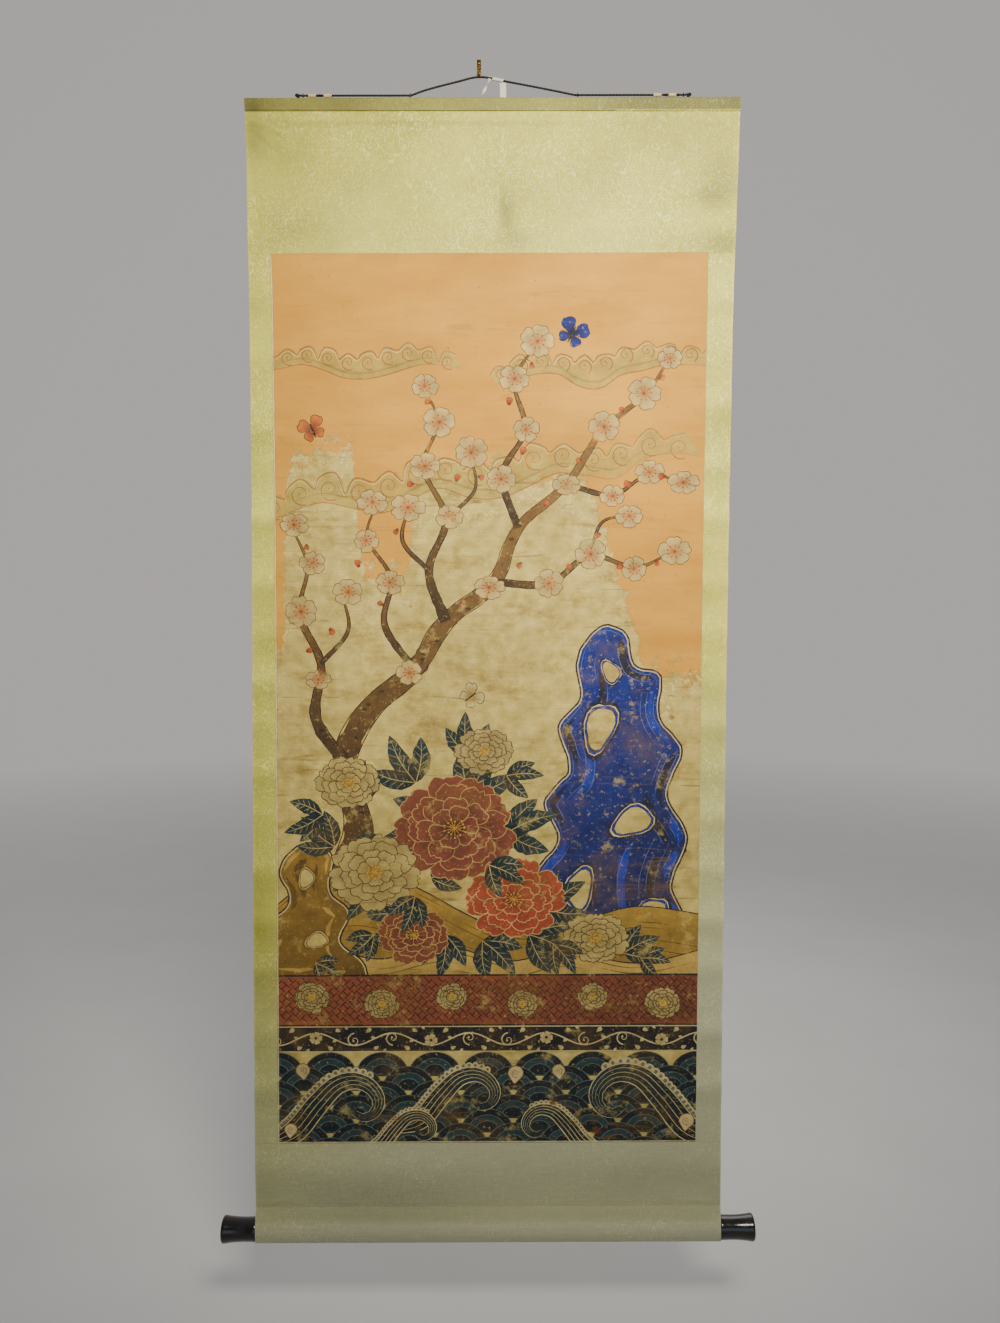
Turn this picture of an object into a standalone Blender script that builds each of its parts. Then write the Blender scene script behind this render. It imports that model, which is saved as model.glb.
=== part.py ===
"""A hanging scroll painting on its wall hook.

The scroll hangs in front of a wall in the plane y = 0 and faces the viewer at
-Y, with +Z up. The origin is the middle of the hook's flat back. Lengths are in
metres. A place on the cloth is given by x and by its drop below the top edge.
"""

import math

import bmesh
import bpy
import numpy as np
from mathutils import Matrix, Vector

GAP = 0.0003
CLOTH = 0.001

# The cloth's outline as it hangs, and the seams of the side borders.
TOP_EDGE_Z = -0.0450
MIDDLE_X = 0.0203
TOP_TILT = 0.0023
ROLLER_TILT = 0.0044
OUTLINE_COLUMNS = ("drop", "left_edge", "left_seam", "right_seam", "right_edge")
OUTLINE = np.array(
    (
        (0.000, -0.3491, -0.3160, 0.3460, 0.3894),
        (0.076, -0.3466, -0.3150, 0.3450, 0.3876),
        (0.226, -0.3464, -0.3140, 0.3440, 0.3839),
        (0.300, -0.3454, -0.3124, 0.3433, 0.3821),
        (0.594, -0.3459, -0.3120, 0.3410, 0.3799),
        (0.900, -0.3492, -0.3140, 0.3403, 0.3790),
        (1.212, -0.3523, -0.3162, 0.3404, 0.3794),
        (1.601, -0.3559, -0.3194, 0.3402, 0.3801),
        (1.760, -0.3552, -0.3196, 0.3404, 0.3812),
    )
)
PAINTING_TOP = 0.2265
PAINTING_BOTTOM = 1.6010

# The stave at the top: a half-round bar, flat at the front.
STAVE_FRONT = -0.0113
STAVE_DEPTH = 0.0070
STAVE_TOP = 0.0013
STAVE_BOTTOM = 0.0147
STAVE_HALF_LENGTH = 0.3655
FLAP_DROP = 0.0170
FLAP_ROWS = (FLAP_DROP, 0.0095, 0.0022)
STAVE_CORNER = 0.0013
# From the stave's back down to where the cloth hangs flat, as y and drop.
BEHIND_STAVE = ((-0.0082, 0.0152), (-0.0097, 0.0165), (-0.0106, 0.0186))
FLAT_TOP_DROP = 0.0220

# The roller at the bottom, with its turned ends.
ROLLER_DROP = 1.7291
ROLLER_RADIUS = 0.0180
ROLLER_Y = -0.0206
ROLLER_LEFT = -0.3482
ROLLER_RIGHT = 0.3737
TUNNEL_RADIUS = ROLLER_RADIUS + 0.0004
FLAP_START_ABOVE = 0.0235
FLAP_BEND = 0.0012
FLAP_GLUED = 0.0045
WRAP_STEPS = 20
DRAWN_IN = 0.0186
# Columns: distance out from the roller, radius.
KNOB_PROFILE = (
    (0.0000, 0.0180),
    (0.0100, 0.0177),
    (0.0230, 0.0176),
    (0.0340, 0.0181),
    (0.0430, 0.0190),
    (0.0495, 0.0200),
    (0.0522, 0.0199),
    (0.0537, 0.0188),
    (0.0543, 0.0150),
    (0.0547, 0.0080),
    (0.0548, 0.0000),
)

# Ripples across the cloth: how far each stands out at the left edge, in the
# middle and at the right edge, and how far it reaches up and down.
# Columns: drop, left, middle, right, reach.
RIPPLES = np.array(
    (
        (0.110, 0.0006, 0.0002, 0.0008, 0.040),
        (0.196, 0.0004, 0.0003, 0.0010, 0.034),
        (0.297, 0.0003, 0.0002, 0.0012, 0.028),
        (0.381, 0.0008, 0.0003, 0.0005, 0.030),
        (0.457, 0.0004, 0.0003, 0.0014, 0.028),
        (0.486, 0.0014, 0.0003, 0.0002, 0.026),
        (0.545, 0.0005, 0.0004, 0.0013, 0.028),
        (0.622, 0.0017, 0.0005, 0.0014, 0.028),
        (0.722, 0.0013, 0.0006, 0.0013, 0.028),
        (0.799, 0.0009, 0.0006, 0.0009, 0.028),
        (0.872, 0.0013, 0.0005, 0.0007, 0.028),
        (0.939, 0.0007, 0.0006, 0.0013, 0.028),
        (1.012, 0.0013, 0.0005, 0.0008, 0.028),
        (1.084, 0.0006, 0.0006, 0.0014, 0.030),
        (1.166, 0.0012, 0.0005, 0.0011, 0.028),
        (1.246, 0.0008, 0.0006, 0.0013, 0.028),
        (1.322, 0.0012, 0.0005, 0.0009, 0.028),
        (1.424, 0.0008, 0.0005, 0.0012, 0.030),
        (1.512, 0.0009, 0.0004, 0.0011, 0.030),
        (1.640, 0.0006, 0.0003, 0.0007, 0.034),
    )
)
# Dents, and swellings where the depth is below zero.
# Columns: x, drop, depth, reach in x, reach in drop.
DENTS = np.array(
    (
        (0.040, 0.160, 0.0014, 0.030, 0.060),
        (0.330, 0.130, 0.0013, 0.045, 0.040),
        (-0.318, 0.092, 0.0010, 0.030, 0.028),
        (0.110, 0.090, -0.0008, 0.110, 0.060),
        (-0.160, 0.130, -0.0009, 0.120, 0.070),
        (0.210, 1.660, -0.0007, 0.090, 0.040),
        (-0.180, 1.655, -0.0006, 0.110, 0.040),
    )
)

# The cord, its bound ends and what it runs through.
CORD_RADIUS = 0.0015
CORD_ABOVE = 0.0046
CORD_Y = -0.0080
END_RADIUS = 0.0019
EYELETS = (
    ("eyelet_outer_left", -0.2620),
    ("eyelet_inner_left", -0.1020),
    ("eyelet_inner_right", 0.1470),
    ("eyelet_outer_right", 0.3045),
)
EYELET_INNER = 0.0019
EYELET_WIRE = 0.0006
EYELET_SHANK = 0.0007
EYELET_NECK = 0.0004
EYELET_COLLAR = 0.0014
EYELET_DEEP = 0.0098
WHIPPING_THICK = 0.0004
WHIPPINGS = (
    ("whipping_1", -0.2539, -0.2427),
    ("whipping_2", -0.2308, -0.2192),
    ("whipping_3", 0.2601, 0.2712),
    ("whipping_4", 0.2824, 0.2936),
)
# A knot outside the eyelet, then the doubled cord. Columns: distance in from the eyelet, radius.
CORD_END = (
    (-0.0128, 0.0000),
    (-0.0124, 0.0022),
    (-0.0106, 0.0033),
    (-0.0074, 0.0035),
    (-0.0046, 0.0028),
    (-0.0027, 0.0015),
    (0.0022, 0.0015),
    (0.0036, END_RADIUS),
    (0.0440, END_RADIUS),
    (0.0457, 0.0016),
    (0.0457, 0.0000),
)
# The cord between its bound ends, left to right, as x, y and z.
CORD_ROUTE = (
    (-0.2160, -0.0080, -0.0409),
    (-0.1750, -0.0080, -0.0408),
    (-0.1350, -0.0080, -0.0408),
    (-0.1100, -0.0080, -0.0407),
    (-0.1015, -0.0080, -0.0406),
    (-0.0950, -0.0079, -0.0384),
    (-0.0818, -0.0074, -0.0334),
    (-0.0580, -0.0063, -0.0263),
    (-0.0283, -0.0046, -0.0181),
    (-0.0120, -0.0034, -0.0132),
    (0.0000, -0.0030, -0.0116),
    (0.0135, -0.0034, -0.0126),
    (0.0398, -0.0044, -0.0184),
    (0.0612, -0.0053, -0.0228),
    (0.0910, -0.0063, -0.0289),
    (0.1208, -0.0073, -0.0352),
    (0.1395, -0.0079, -0.0393),
    (0.1470, -0.0080, -0.0401),
    (0.1550, -0.0080, -0.0400),
    (0.1850, -0.0080, -0.0400),
    (0.2200, -0.0080, -0.0399),
    (0.2585, -0.0080, -0.0399),
)
CORD_STEP = 0.0095

# The ribbon tied round the cord beside the hook.
TIE_FROM_X = 0.0142
TIE_TO_X = 0.0398
TIE_WALL = 0.0008
TIE_THICK = 0.0010
TIE_WIDTH = 0.0092
TIE_LEAN = -0.215
TIE_LEAN_FADES = 0.018
TIE_LONG_ROUTE = (
    (0.0355, -0.0031, -0.0194),
    (0.0358, -0.0022, -0.0235),
    (0.0360, -0.0014, -0.0310),
    (0.0361, -0.0010, -0.0450),
    (0.0364, -0.0010, -0.1000),
    (0.0366, -0.0011, -0.1800),
    (0.0363, -0.0012, -0.2950),
)
TIE_SHORT_WIDTH = 0.0042
TIE_SHORT_ROUTE = (
    (0.0165, -0.0050, -0.0152),
    (0.0140, -0.0054, -0.0195),
    (0.0112, -0.0055, -0.0260),
    (0.0078, -0.0055, -0.0325),
    (0.0038, -0.0054, -0.0394),
)
TIE_SHORT_TURNS = 0.75

# The wall hook: a bent brass strip, and its nail.
HOOK_WIDTH = 0.0060
HOOK_THICK = 0.0012
HOOK_TOP = 0.0149
HOOK_CROOK = (-0.0030, -0.0116)
HOOK_LIP_TOP = -0.0028
HOOK_LIP_LEAN = 0.0008
NAIL_Z = 0.0095
NAIL_SHANK = 0.0009
NAIL_HEAD = 0.0023

# Columns: colour, roughness, metallic.
LOOKS = {
    "damask_silk": ((0.48, 0.46, 0.24), 0.55, 0.0),
    "painted_paper": ((0.58, 0.47, 0.28), 0.85, 0.0),
    "stave_wood": ((0.45, 0.31, 0.18), 0.60, 0.0),
    "black_lacquer": ((0.012, 0.010, 0.010), 0.18, 0.0),
    "brass": ((0.52, 0.38, 0.14), 0.35, 1.0),
    "dark_braid": ((0.022, 0.015, 0.012), 0.75, 0.0),
    "cream_thread": ((0.70, 0.62, 0.42), 0.80, 0.0),
    "white_ribbon": ((0.78, 0.78, 0.70), 0.60, 0.0),
}


def clear_scene():
    for item in list(bpy.data.objects):
        bpy.data.objects.remove(item)


def collection(name):
    made = bpy.data.collections.new(name)
    bpy.context.scene.collection.children.link(made)
    return made


def material_for(name, look):
    colour, roughness, metallic = LOOKS[look]
    made = bpy.data.materials.new(name + "_" + look)
    made.use_nodes = True
    shader = made.node_tree.nodes["Principled BSDF"]
    shader.inputs["Base Color"].default_value = (*colour, 1.0)
    shader.inputs["Roughness"].default_value = roughness
    shader.inputs["Metallic"].default_value = metallic
    return made


def add_object(name, mesh, look, smooth=True):
    made = bpy.data.objects.new(name, mesh)
    parts.objects.link(made)
    mesh.materials.append(material_for(name, look))
    if smooth:
        mesh.shade_smooth()
        mesh.set_sharp_from_angle(angle=math.radians(40))
    return made


def mesh_from(bm, name):
    bmesh.ops.recalc_face_normals(bm, faces=bm.faces)
    mesh = bpy.data.meshes.new(name)
    bm.to_mesh(mesh)
    bm.free()
    return mesh


def grid_surface(name, across, down, place):
    """An open grid whose point at (across, down), both from 0 to 1, is place(a, d)."""
    bm = bmesh.new()
    bmesh.ops.create_grid(bm, x_segments=across, y_segments=down, size=0.5)
    for vert in bm.verts:
        vert.co = Vector(place(vert.co.x + 0.5, 0.5 - vert.co.y))
    mesh = bpy.data.meshes.new(name)
    bm.to_mesh(mesh)
    bm.free()
    return mesh


def give_thickness(made, thickness):
    solidify = made.modifiers.new("thickness", "SOLIDIFY")
    solidify.thickness = thickness
    solidify.offset = 0.0
    solidify.use_even_offset = True


def bake_modifiers(made):
    """Replaces the object's mesh by its evaluated one, ready for a Boolean."""
    graph = bpy.context.evaluated_depsgraph_get()
    mesh = bpy.data.meshes.new_from_object(made.evaluated_get(graph))
    made.modifiers.clear()
    made.data = mesh


def boolean(made, other, operation):
    step = made.modifiers.new(operation.lower(), "BOOLEAN")
    step.object = other
    step.operation = operation
    step.solver = "EXACT"


def as_cutter(made):
    """Puts a helper that a Boolean reads into the collection that isn't drawn."""
    for holder in list(made.users_collection):
        holder.objects.unlink(made)
    cutters.objects.link(made)
    made.hide_render = True
    made.display_type = "WIRE"


def bore(name, radius, depth, matrix):
    """A round hole's cutter."""
    bm = bmesh.new()
    bmesh.ops.create_cone(
        bm, cap_ends=True, segments=12, radius1=radius, radius2=radius, depth=depth, matrix=matrix
    )
    made = bpy.data.objects.new(name, mesh_from(bm, name))
    as_cutter(made)
    return made


def outline_at(drop, column):
    return float(np.interp(drop, OUTLINE[:, 0], OUTLINE[:, OUTLINE_COLUMNS.index(column)]))


def height(x, drop):
    """z of a place on the cloth: its rows tilt a little, more so towards the roller."""
    tilt = TOP_TILT + (ROLLER_TILT - TOP_TILT) * drop / ROLLER_DROP
    return TOP_EDGE_Z - drop + tilt * (x - MIDDLE_X)


def relief(x, drop):
    """How far the ripples and dents bring the cloth forward."""
    left, right = outline_at(drop, "left_edge"), outline_at(drop, "right_edge")
    side = 2.0 * (x - left) / (right - left) - 1.0
    to_left = max(0.0, -side) ** 3
    to_right = max(0.0, side) ** 3
    out = 0.0
    for row in RIPPLES:
        at, at_left, at_middle, at_right, reach = row
        away = (drop - at) / reach
        if abs(away) < 2.5:
            crest = at_middle + (at_left - at_middle) * to_left + (at_right - at_middle) * to_right
            out += crest * math.exp(-2.0 * away * away)
    for row in DENTS:
        at_x, at, depth, reach_x, reach_drop = row
        spread = ((x - at_x) / reach_x) ** 2 + ((drop - at) / reach_drop) ** 2
        out -= depth * math.exp(-spread)
    return out


FLAT_TOP_Y = STAVE_FRONT + CLOTH / 2
FLAT_BOTTOM_Y = ROLLER_Y + TUNNEL_RADIUS + CLOTH / 2


def flat_depth(x, drop):
    """y of the cloth's middle layer between the stave and the roller."""
    share = (drop - FLAT_TOP_DROP) / (ROLLER_DROP - FLAT_TOP_DROP)
    fade = min(1.0, max(0.0, (drop - FLAT_TOP_DROP) / 0.03))
    fade *= min(1.0, max(0.0, (ROLLER_DROP - 0.03 - drop) / 0.03))
    return FLAT_TOP_Y + (FLAT_BOTTOM_Y - FLAT_TOP_Y) * share - relief(x, drop) * fade


def stave_wrap():
    """The cloth round the stave as (y, drop): front flap, over the top, down the back."""
    lift = GAP + CLOTH / 2
    middle = (STAVE_TOP + STAVE_BOTTOM) / 2
    rise = (STAVE_BOTTOM - STAVE_TOP) / 2 + lift
    front = STAVE_FRONT - lift
    path = [(front, drop) for drop in FLAP_ROWS]
    for degrees in (30, 60, 90):
        turn = math.radians(degrees)
        back = STAVE_CORNER * (1 - math.cos(turn))
        path.append((front + back, middle - rise + STAVE_CORNER * (1 - math.sin(turn))))
    for degrees in (70, 50, 30, 10, -10, -30, -50):
        turn = math.radians(degrees)
        path.append((STAVE_FRONT + (STAVE_DEPTH + lift) * math.cos(turn), middle - rise * math.sin(turn)))
    path += [*BEHIND_STAVE, (FLAT_TOP_Y, FLAT_TOP_DROP)]
    return path


def roller_wrap():
    """The cloth round the roller as (y, drop): down the back, up the front, onto the cloth."""
    radius = TUNNEL_RADIUS + CLOTH / 2
    flap_y = FLAT_BOTTOM_Y - CLOTH - GAP
    to_y = ROLLER_Y - flap_y
    reach = math.hypot(to_y, FLAP_START_ABOVE)
    slope = math.atan2(FLAP_START_ABOVE, -to_y) - math.asin(radius / reach)
    last = 270.0 - math.degrees(slope)
    path = []
    for i in range(WRAP_STEPS + 1):
        turn = math.radians(last * i / WRAP_STEPS)
        path.append((ROLLER_Y + radius * math.cos(turn), ROLLER_DROP + radius * math.sin(turn)))
    start = ROLLER_DROP - FLAP_START_ABOVE
    touch_y, touch_drop = path[-1]
    for share in (0.5, 0.92):
        path.append((touch_y + (flap_y - touch_y) * share, touch_drop + (start - touch_drop) * share))
    path.append((flap_y, start - FLAP_BEND))
    path.append((flap_y, start - FLAP_GLUED))
    return path


def panel_x(share, drop, y):
    """x across a full-width panel; cloth that stands forward of the flat part is drawn in."""
    left, right = outline_at(drop, "left_edge"), outline_at(drop, "right_edge")
    middle = (left + right) / 2
    forward = max(0.0, FLAT_BOTTOM_Y - y) if drop > PAINTING_BOTTOM else 0.0
    pull = DRAWN_IN * forward / (2 * TUNNEL_RADIUS)
    return middle + (left + (right - left) * share - middle) * (1.0 - pull)


def top_panel():
    wrap = stave_wrap()
    bottom = PAINTING_TOP - GAP / 2
    flat = list(np.linspace(FLAT_TOP_DROP, bottom, 14))[1:]
    rows = len(wrap) + len(flat)

    def place(across, down):
        i = round(down * (rows - 1))
        if i < len(wrap):
            y, drop = wrap[i]
        else:
            drop = flat[i - len(wrap)]
            y = None
        x = panel_x(across, drop, 0.0)
        if y is None:
            y = flat_depth(x, drop)
        return x, y, height(x, drop)

    made = add_object("top_panel", grid_surface("top_panel", 12, rows - 1, place), "damask_silk")
    give_thickness(made, CLOTH)
    bake_modifiers(made)
    for cutter in eyelet_bores:
        boolean(made, cutter, "DIFFERENCE")


def bottom_panel():
    wrap = roller_wrap()
    top = PAINTING_BOTTOM + GAP / 2
    flat = list(np.linspace(top, ROLLER_DROP, 9))[:-1]
    rows = len(wrap) + len(flat)

    def place(across, down):
        i = round(down * (rows - 1))
        if i < len(flat):
            drop = flat[i]
            x = panel_x(across, drop, FLAT_BOTTOM_Y)
            y = flat_depth(x, drop)
        else:
            y, drop = wrap[i - len(flat)]
            x = panel_x(across, drop, y)
        return x, y, height(x, drop)

    made = add_object("bottom_panel", grid_surface("bottom_panel", 8, rows - 1, place), "damask_silk")
    give_thickness(made, CLOTH)


def hung_strip(name, left, right, across, look):
    """A piece between the two panels; left and right name columns of the outline."""
    rows = 62
    top = PAINTING_TOP + GAP / 2
    bottom = PAINTING_BOTTOM - GAP / 2

    def place(share, down):
        drop = top + (bottom - top) * down
        start = outline_at(drop, left) + (GAP / 2 if left.endswith("seam") else 0.0)
        end = outline_at(drop, right) - (GAP / 2 if right.endswith("seam") else 0.0)
        x = start + (end - start) * share
        return x, flat_depth(x, drop), height(x, drop)

    made = add_object(name, grid_surface(name, across, rows, place), look)
    give_thickness(made, CLOTH)


def tilted(made, tilt, pivot):
    """Turns a piece that was made level about the Y axis through pivot."""
    turn = Matrix.Translation(pivot) @ Matrix.Rotation(-math.atan(tilt), 4, "Y")
    made.matrix_world = turn @ Matrix.Translation(-pivot) @ made.matrix_world


def curve_mesh(name, data):
    """A mesh of a curve object's data, with its caps welded on."""
    holder = bpy.data.objects.new(name + "_curve", data)
    parts.objects.link(holder)
    graph = bpy.context.evaluated_depsgraph_get()
    mesh = bpy.data.meshes.new_from_object(holder.evaluated_get(graph))
    bm = bmesh.new()
    bm.from_mesh(mesh)
    bmesh.ops.remove_doubles(bm, verts=bm.verts, dist=1e-6)
    bmesh.ops.recalc_face_normals(bm, faces=bm.faces)
    bm.to_mesh(mesh)
    bm.free()
    mesh.materials.clear()
    bpy.data.objects.remove(holder)
    return mesh


def flat_outline(name, points, half_thickness):
    data = bpy.data.curves.new(name, "CURVE")
    data.dimensions = "2D"
    data.fill_mode = "BOTH"
    data.extrude = half_thickness
    spline = data.splines.new("POLY")
    spline.points.add(len(points) - 1)
    for point, (a, b) in zip(spline.points, points):
        point.co = (a, b, 0.0, 1.0)
    spline.use_cyclic_u = True
    return data


def top_stave():
    """Drawn as (depth, height) and stretched along the scroll's width."""
    middle = (STAVE_TOP + STAVE_BOTTOM) / 2
    half = (STAVE_BOTTOM - STAVE_TOP) / 2
    section = []
    for degrees in range(-90, 91, 18):
        turn = math.radians(degrees)
        section.append((STAVE_DEPTH * math.cos(turn), half * math.sin(turn)))
    mesh = curve_mesh("top_stave", flat_outline("top_stave", section, STAVE_HALF_LENGTH))
    stand = Matrix(((0, 0, 1, 0), (1, 0, 0, 0), (0, 1, 0, 0), (0, 0, 0, 1)))
    seat = Matrix.Translation((MIDDLE_X, STAVE_FRONT, TOP_EDGE_Z - middle))
    mesh.transform(seat @ stand)
    made = add_object("top_stave", mesh, "stave_wood")
    tilted(made, TOP_TILT, Vector((MIDDLE_X, 0.0, TOP_EDGE_Z)))
    for cutter in eyelet_bores:
        boolean(made, cutter, "DIFFERENCE")


def turned(name, profile, steps, look, axis_matrix):
    """A solid turned about an axis: profile is (along, radius), first to last outwards."""
    bm = bmesh.new()
    verts = [bm.verts.new((radius, 0.0, along)) for along, radius in profile]
    for first, second in zip(verts, verts[1:]):
        bm.edges.new((first, second))
    mesh = bpy.data.meshes.new(name)
    bm.to_mesh(mesh)
    bm.free()
    made = add_object(name, mesh, look)
    screw = made.modifiers.new("turned", "SCREW")
    screw.axis = "Z"
    screw.steps = steps
    screw.render_steps = steps
    screw.use_merge_vertices = True
    screw.merge_threshold = 0.00001
    made.matrix_world = axis_matrix
    return made


def along_x(x, y, z, outwards):
    """A frame whose +Z runs along world X, to the right or to the left."""
    turn = Matrix.Rotation(math.radians(90 * outwards), 4, "Y")
    return Matrix.Translation((x, y, z)) @ turn


def roller_z(x):
    return height(x, ROLLER_DROP)


def roller_dowel():
    length = ROLLER_RIGHT - ROLLER_LEFT
    bm = bmesh.new()
    bmesh.ops.create_cone(
        bm,
        cap_ends=True,
        segments=40,
        radius1=ROLLER_RADIUS,
        radius2=ROLLER_RADIUS,
        depth=length,
        matrix=Matrix.Rotation(math.radians(90), 4, "Y"),
    )
    made = add_object("roller_dowel", mesh_from(bm, "roller_dowel"), "stave_wood")
    middle = (ROLLER_LEFT + ROLLER_RIGHT) / 2
    made.location = (middle, ROLLER_Y, roller_z(middle))
    made.rotation_euler = (0.0, -math.atan(ROLLER_TILT), 0.0)


def knobs():
    for name, x, side in (("knob_left", ROLLER_LEFT, -1), ("knob_right", ROLLER_RIGHT, 1)):
        start = x + side * GAP
        seat = Matrix.Translation((start, ROLLER_Y, roller_z(start)))
        lean = Matrix.Rotation(-math.atan(ROLLER_TILT), 4, "Y")
        frame = seat @ lean @ along_x(0.0, 0.0, 0.0, side)
        turned(name, KNOB_PROFILE[::-1] + ((0.0, 0.0),), 40, "black_lacquer", frame)


def cord_z(x):
    return height(x, 0.0) + CORD_ABOVE


def eyelet_bore(name, x):
    """What an eyelet's shank stands in, through the cloth and into the stave."""
    top, bottom = 0.0018, -(EYELET_DEEP + 0.0004)
    middle = Matrix.Translation((x, CORD_Y, height(x, 0.0) + (top + bottom) / 2))
    return bore(name + "_bore", EYELET_SHANK + GAP, top - bottom, middle)


def eyelets():
    """A wire ring on a screw with a collar, which stands on the cloth."""
    ring = EYELET_INNER + EYELET_WIRE
    into_ring = CORD_ABOVE - ring - 0.0002
    shank_profile = (
        (into_ring, 0.0),
        (into_ring, EYELET_NECK),
        (0.0011, EYELET_SHANK),
        (0.0009, EYELET_COLLAR),
        (GAP, EYELET_COLLAR),
        (GAP, EYELET_SHANK),
        (-0.0085, EYELET_SHANK),
        (-EYELET_DEEP, 0.0),
    )
    for name, x in EYELETS:
        bpy.ops.mesh.primitive_torus_add(
            major_segments=14,
            minor_segments=6,
            major_radius=ring,
            minor_radius=EYELET_WIRE,
            location=(x, CORD_Y, cord_z(x)),
            rotation=(0.0, math.radians(90), 0.0),
        )
        loop = bpy.context.object
        mesh = loop.data
        mesh.transform(loop.matrix_world)
        bpy.data.objects.remove(loop)
        mesh.materials.clear()
        made = add_object(name, mesh, "brass")
        foot = Matrix.Translation((x, CORD_Y, height(x, 0.0)))
        shank = turned(name + "_shank", shank_profile, 8, "brass", foot)
        bake_modifiers(shank)
        as_cutter(shank)
        boolean(made, shank, "UNION")


def smooth_route(points, step):
    """Evenly spaced points on a smooth curve through the route's own points."""
    knots = [Vector(point) for point in points]
    ends = [knots[0] * 2 - knots[1]] + knots + [knots[-1] * 2 - knots[-2]]
    fine = []
    parts_each = 24
    for a, b, c, d in zip(ends, ends[1:], ends[2:], ends[3:]):
        for i in range(parts_each):
            t = i / parts_each
            bent = (2 * a - 5 * b + 4 * c - d) * t ** 2 + (3 * b - a - 3 * c + d) * t ** 3
            fine.append((2 * b + (c - a) * t + bent) / 2)
    fine.append(knots[-1])
    runs = np.cumsum([0.0] + [(q - p).length for p, q in zip(fine, fine[1:])])
    wanted = np.linspace(0.0, runs[-1], max(2, round(runs[-1] / step) + 1))
    return [Vector([float(np.interp(w, runs, [p[k] for p in fine])) for k in range(3)]) for w in wanted]


def hanging_cord():
    route = smooth_route(CORD_ROUTE, CORD_STEP)
    data = bpy.data.curves.new("hanging_cord", "CURVE")
    data.dimensions = "3D"
    data.bevel_depth = CORD_RADIUS
    data.bevel_resolution = 2
    data.use_fill_caps = True
    spline = data.splines.new("POLY")
    spline.points.add(len(route) - 1)
    for point, place in zip(spline.points, route):
        point.co = (*place, 1.0)
    data.materials.append(material_for("hanging_cord", "dark_braid"))
    made = bpy.data.objects.new("hanging_cord", data)
    parts.objects.link(made)
    return made


def cord_ends():
    for name, x, side in (("cord_end_left", EYELETS[0][1], 1), ("cord_end_right", EYELETS[3][1], -1)):
        frame = along_x(x, CORD_Y, cord_z(x), side)
        turned(name, CORD_END[::-1], 10, "dark_braid", frame)


def sleeve(length, inner, wall):
    """The profile of a round sleeve, for turning."""
    outer = inner + wall
    return ((length, inner), (length, outer), (0.0, outer), (0.0, inner), (length, inner))


def whippings():
    inner = END_RADIUS + GAP
    for name, start, end in WHIPPINGS:
        frame = along_x(start, CORD_Y, cord_z(start), 1)
        turned(name, sleeve(end - start, inner, WHIPPING_THICK), 10, "cream_thread", frame)


def ribbon(name, route, width, turns, lean):
    """A flat ribbon along a route, turned about its own length; its start leans with the cord."""
    line = smooth_route(route, 0.004 if turns else 0.009)

    def place(across, down):
        i = round(down * (len(line) - 1))
        run = line[min(i + 1, len(line) - 1)] - line[max(i - 1, 0)]
        fallen = (line[0] - line[i]).length
        side = Vector((1.0, 0.0, lean * max(0.0, 1.0 - fallen / TIE_LEAN_FADES)))
        if turns:
            side = side - run * side.dot(run) / run.length_squared
        turn = Matrix.Rotation(math.tau * turns * down, 3, run)
        return line[i] + turn @ side.normalized() * width * (across - 0.5)

    mesh = grid_surface(name, 1, len(line) - 1, place)
    made = add_object(name, mesh, "white_ribbon")
    give_thickness(made, TIE_THICK)
    return made


def cord_place(x):
    """Where the cord's centre line is at this x."""
    route = smooth_route(CORD_ROUTE, CORD_STEP)
    xs = [point.x for point in route]
    return Vector([float(np.interp(x, xs, [point[k] for point in route])) for k in range(3)])


def tie():
    """The loop round the cord, with its long end behind the cloth and its short end in front."""
    start, end = cord_place(TIE_FROM_X), cord_place(TIE_TO_X)
    run = end - start
    frame = run.to_track_quat("Z", "Y").to_matrix().to_4x4()
    frame.translation = start
    made = turned("tie_ribbon", sleeve(run.length, CORD_RADIUS + GAP, TIE_WALL), 12, "white_ribbon", frame)
    bake_modifiers(made)
    for name, route, width, turns, lean in (
        ("tie_long_end", TIE_LONG_ROUTE, TIE_WIDTH, 0.0, TIE_LEAN),
        ("tie_short_end", TIE_SHORT_ROUTE, TIE_SHORT_WIDTH, TIE_SHORT_TURNS, TIE_LEAN),
    ):
        end_strip = ribbon(name, route, width, turns, lean)
        bake_modifiers(end_strip)
        as_cutter(end_strip)
        boolean(made, end_strip, "UNION")


def wall_hook():
    """The strip seen from its side as (y, z): back plate, crook and front lip."""
    half = HOOK_THICK / 2
    crook_y, crook_z = HOOK_CROOK
    radius = -crook_y - half
    side = [(-half, z) for z in (HOOK_TOP, NAIL_Z + 0.0020, NAIL_Z - 0.0020, -0.0020, crook_z)]
    for degrees in range(20, 181, 20):
        turn = math.radians(degrees)
        side.append((crook_y + radius * math.cos(turn), crook_z - radius * math.sin(turn)))
    front = crook_y - radius
    side.append((front - HOOK_LIP_LEAN / 2, (crook_z + HOOK_LIP_TOP) / 2))
    side.append((front - HOOK_LIP_LEAN, HOOK_LIP_TOP))

    def place(across, down):
        y, z = side[round(down * (len(side) - 1))]
        return HOOK_WIDTH * (across - 0.5), y, z

    made = add_object("wall_hook", grid_surface("wall_hook", 1, len(side) - 1, place), "brass", False)
    give_thickness(made, HOOK_THICK)
    bake_modifiers(made)
    through = Matrix.Translation((0.0, -half, NAIL_Z)) @ Matrix.Rotation(math.radians(90), 4, "X")
    boolean(made, bore("nail_bore", NAIL_SHANK + GAP, 3 * HOOK_THICK, through), "DIFFERENCE")


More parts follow.
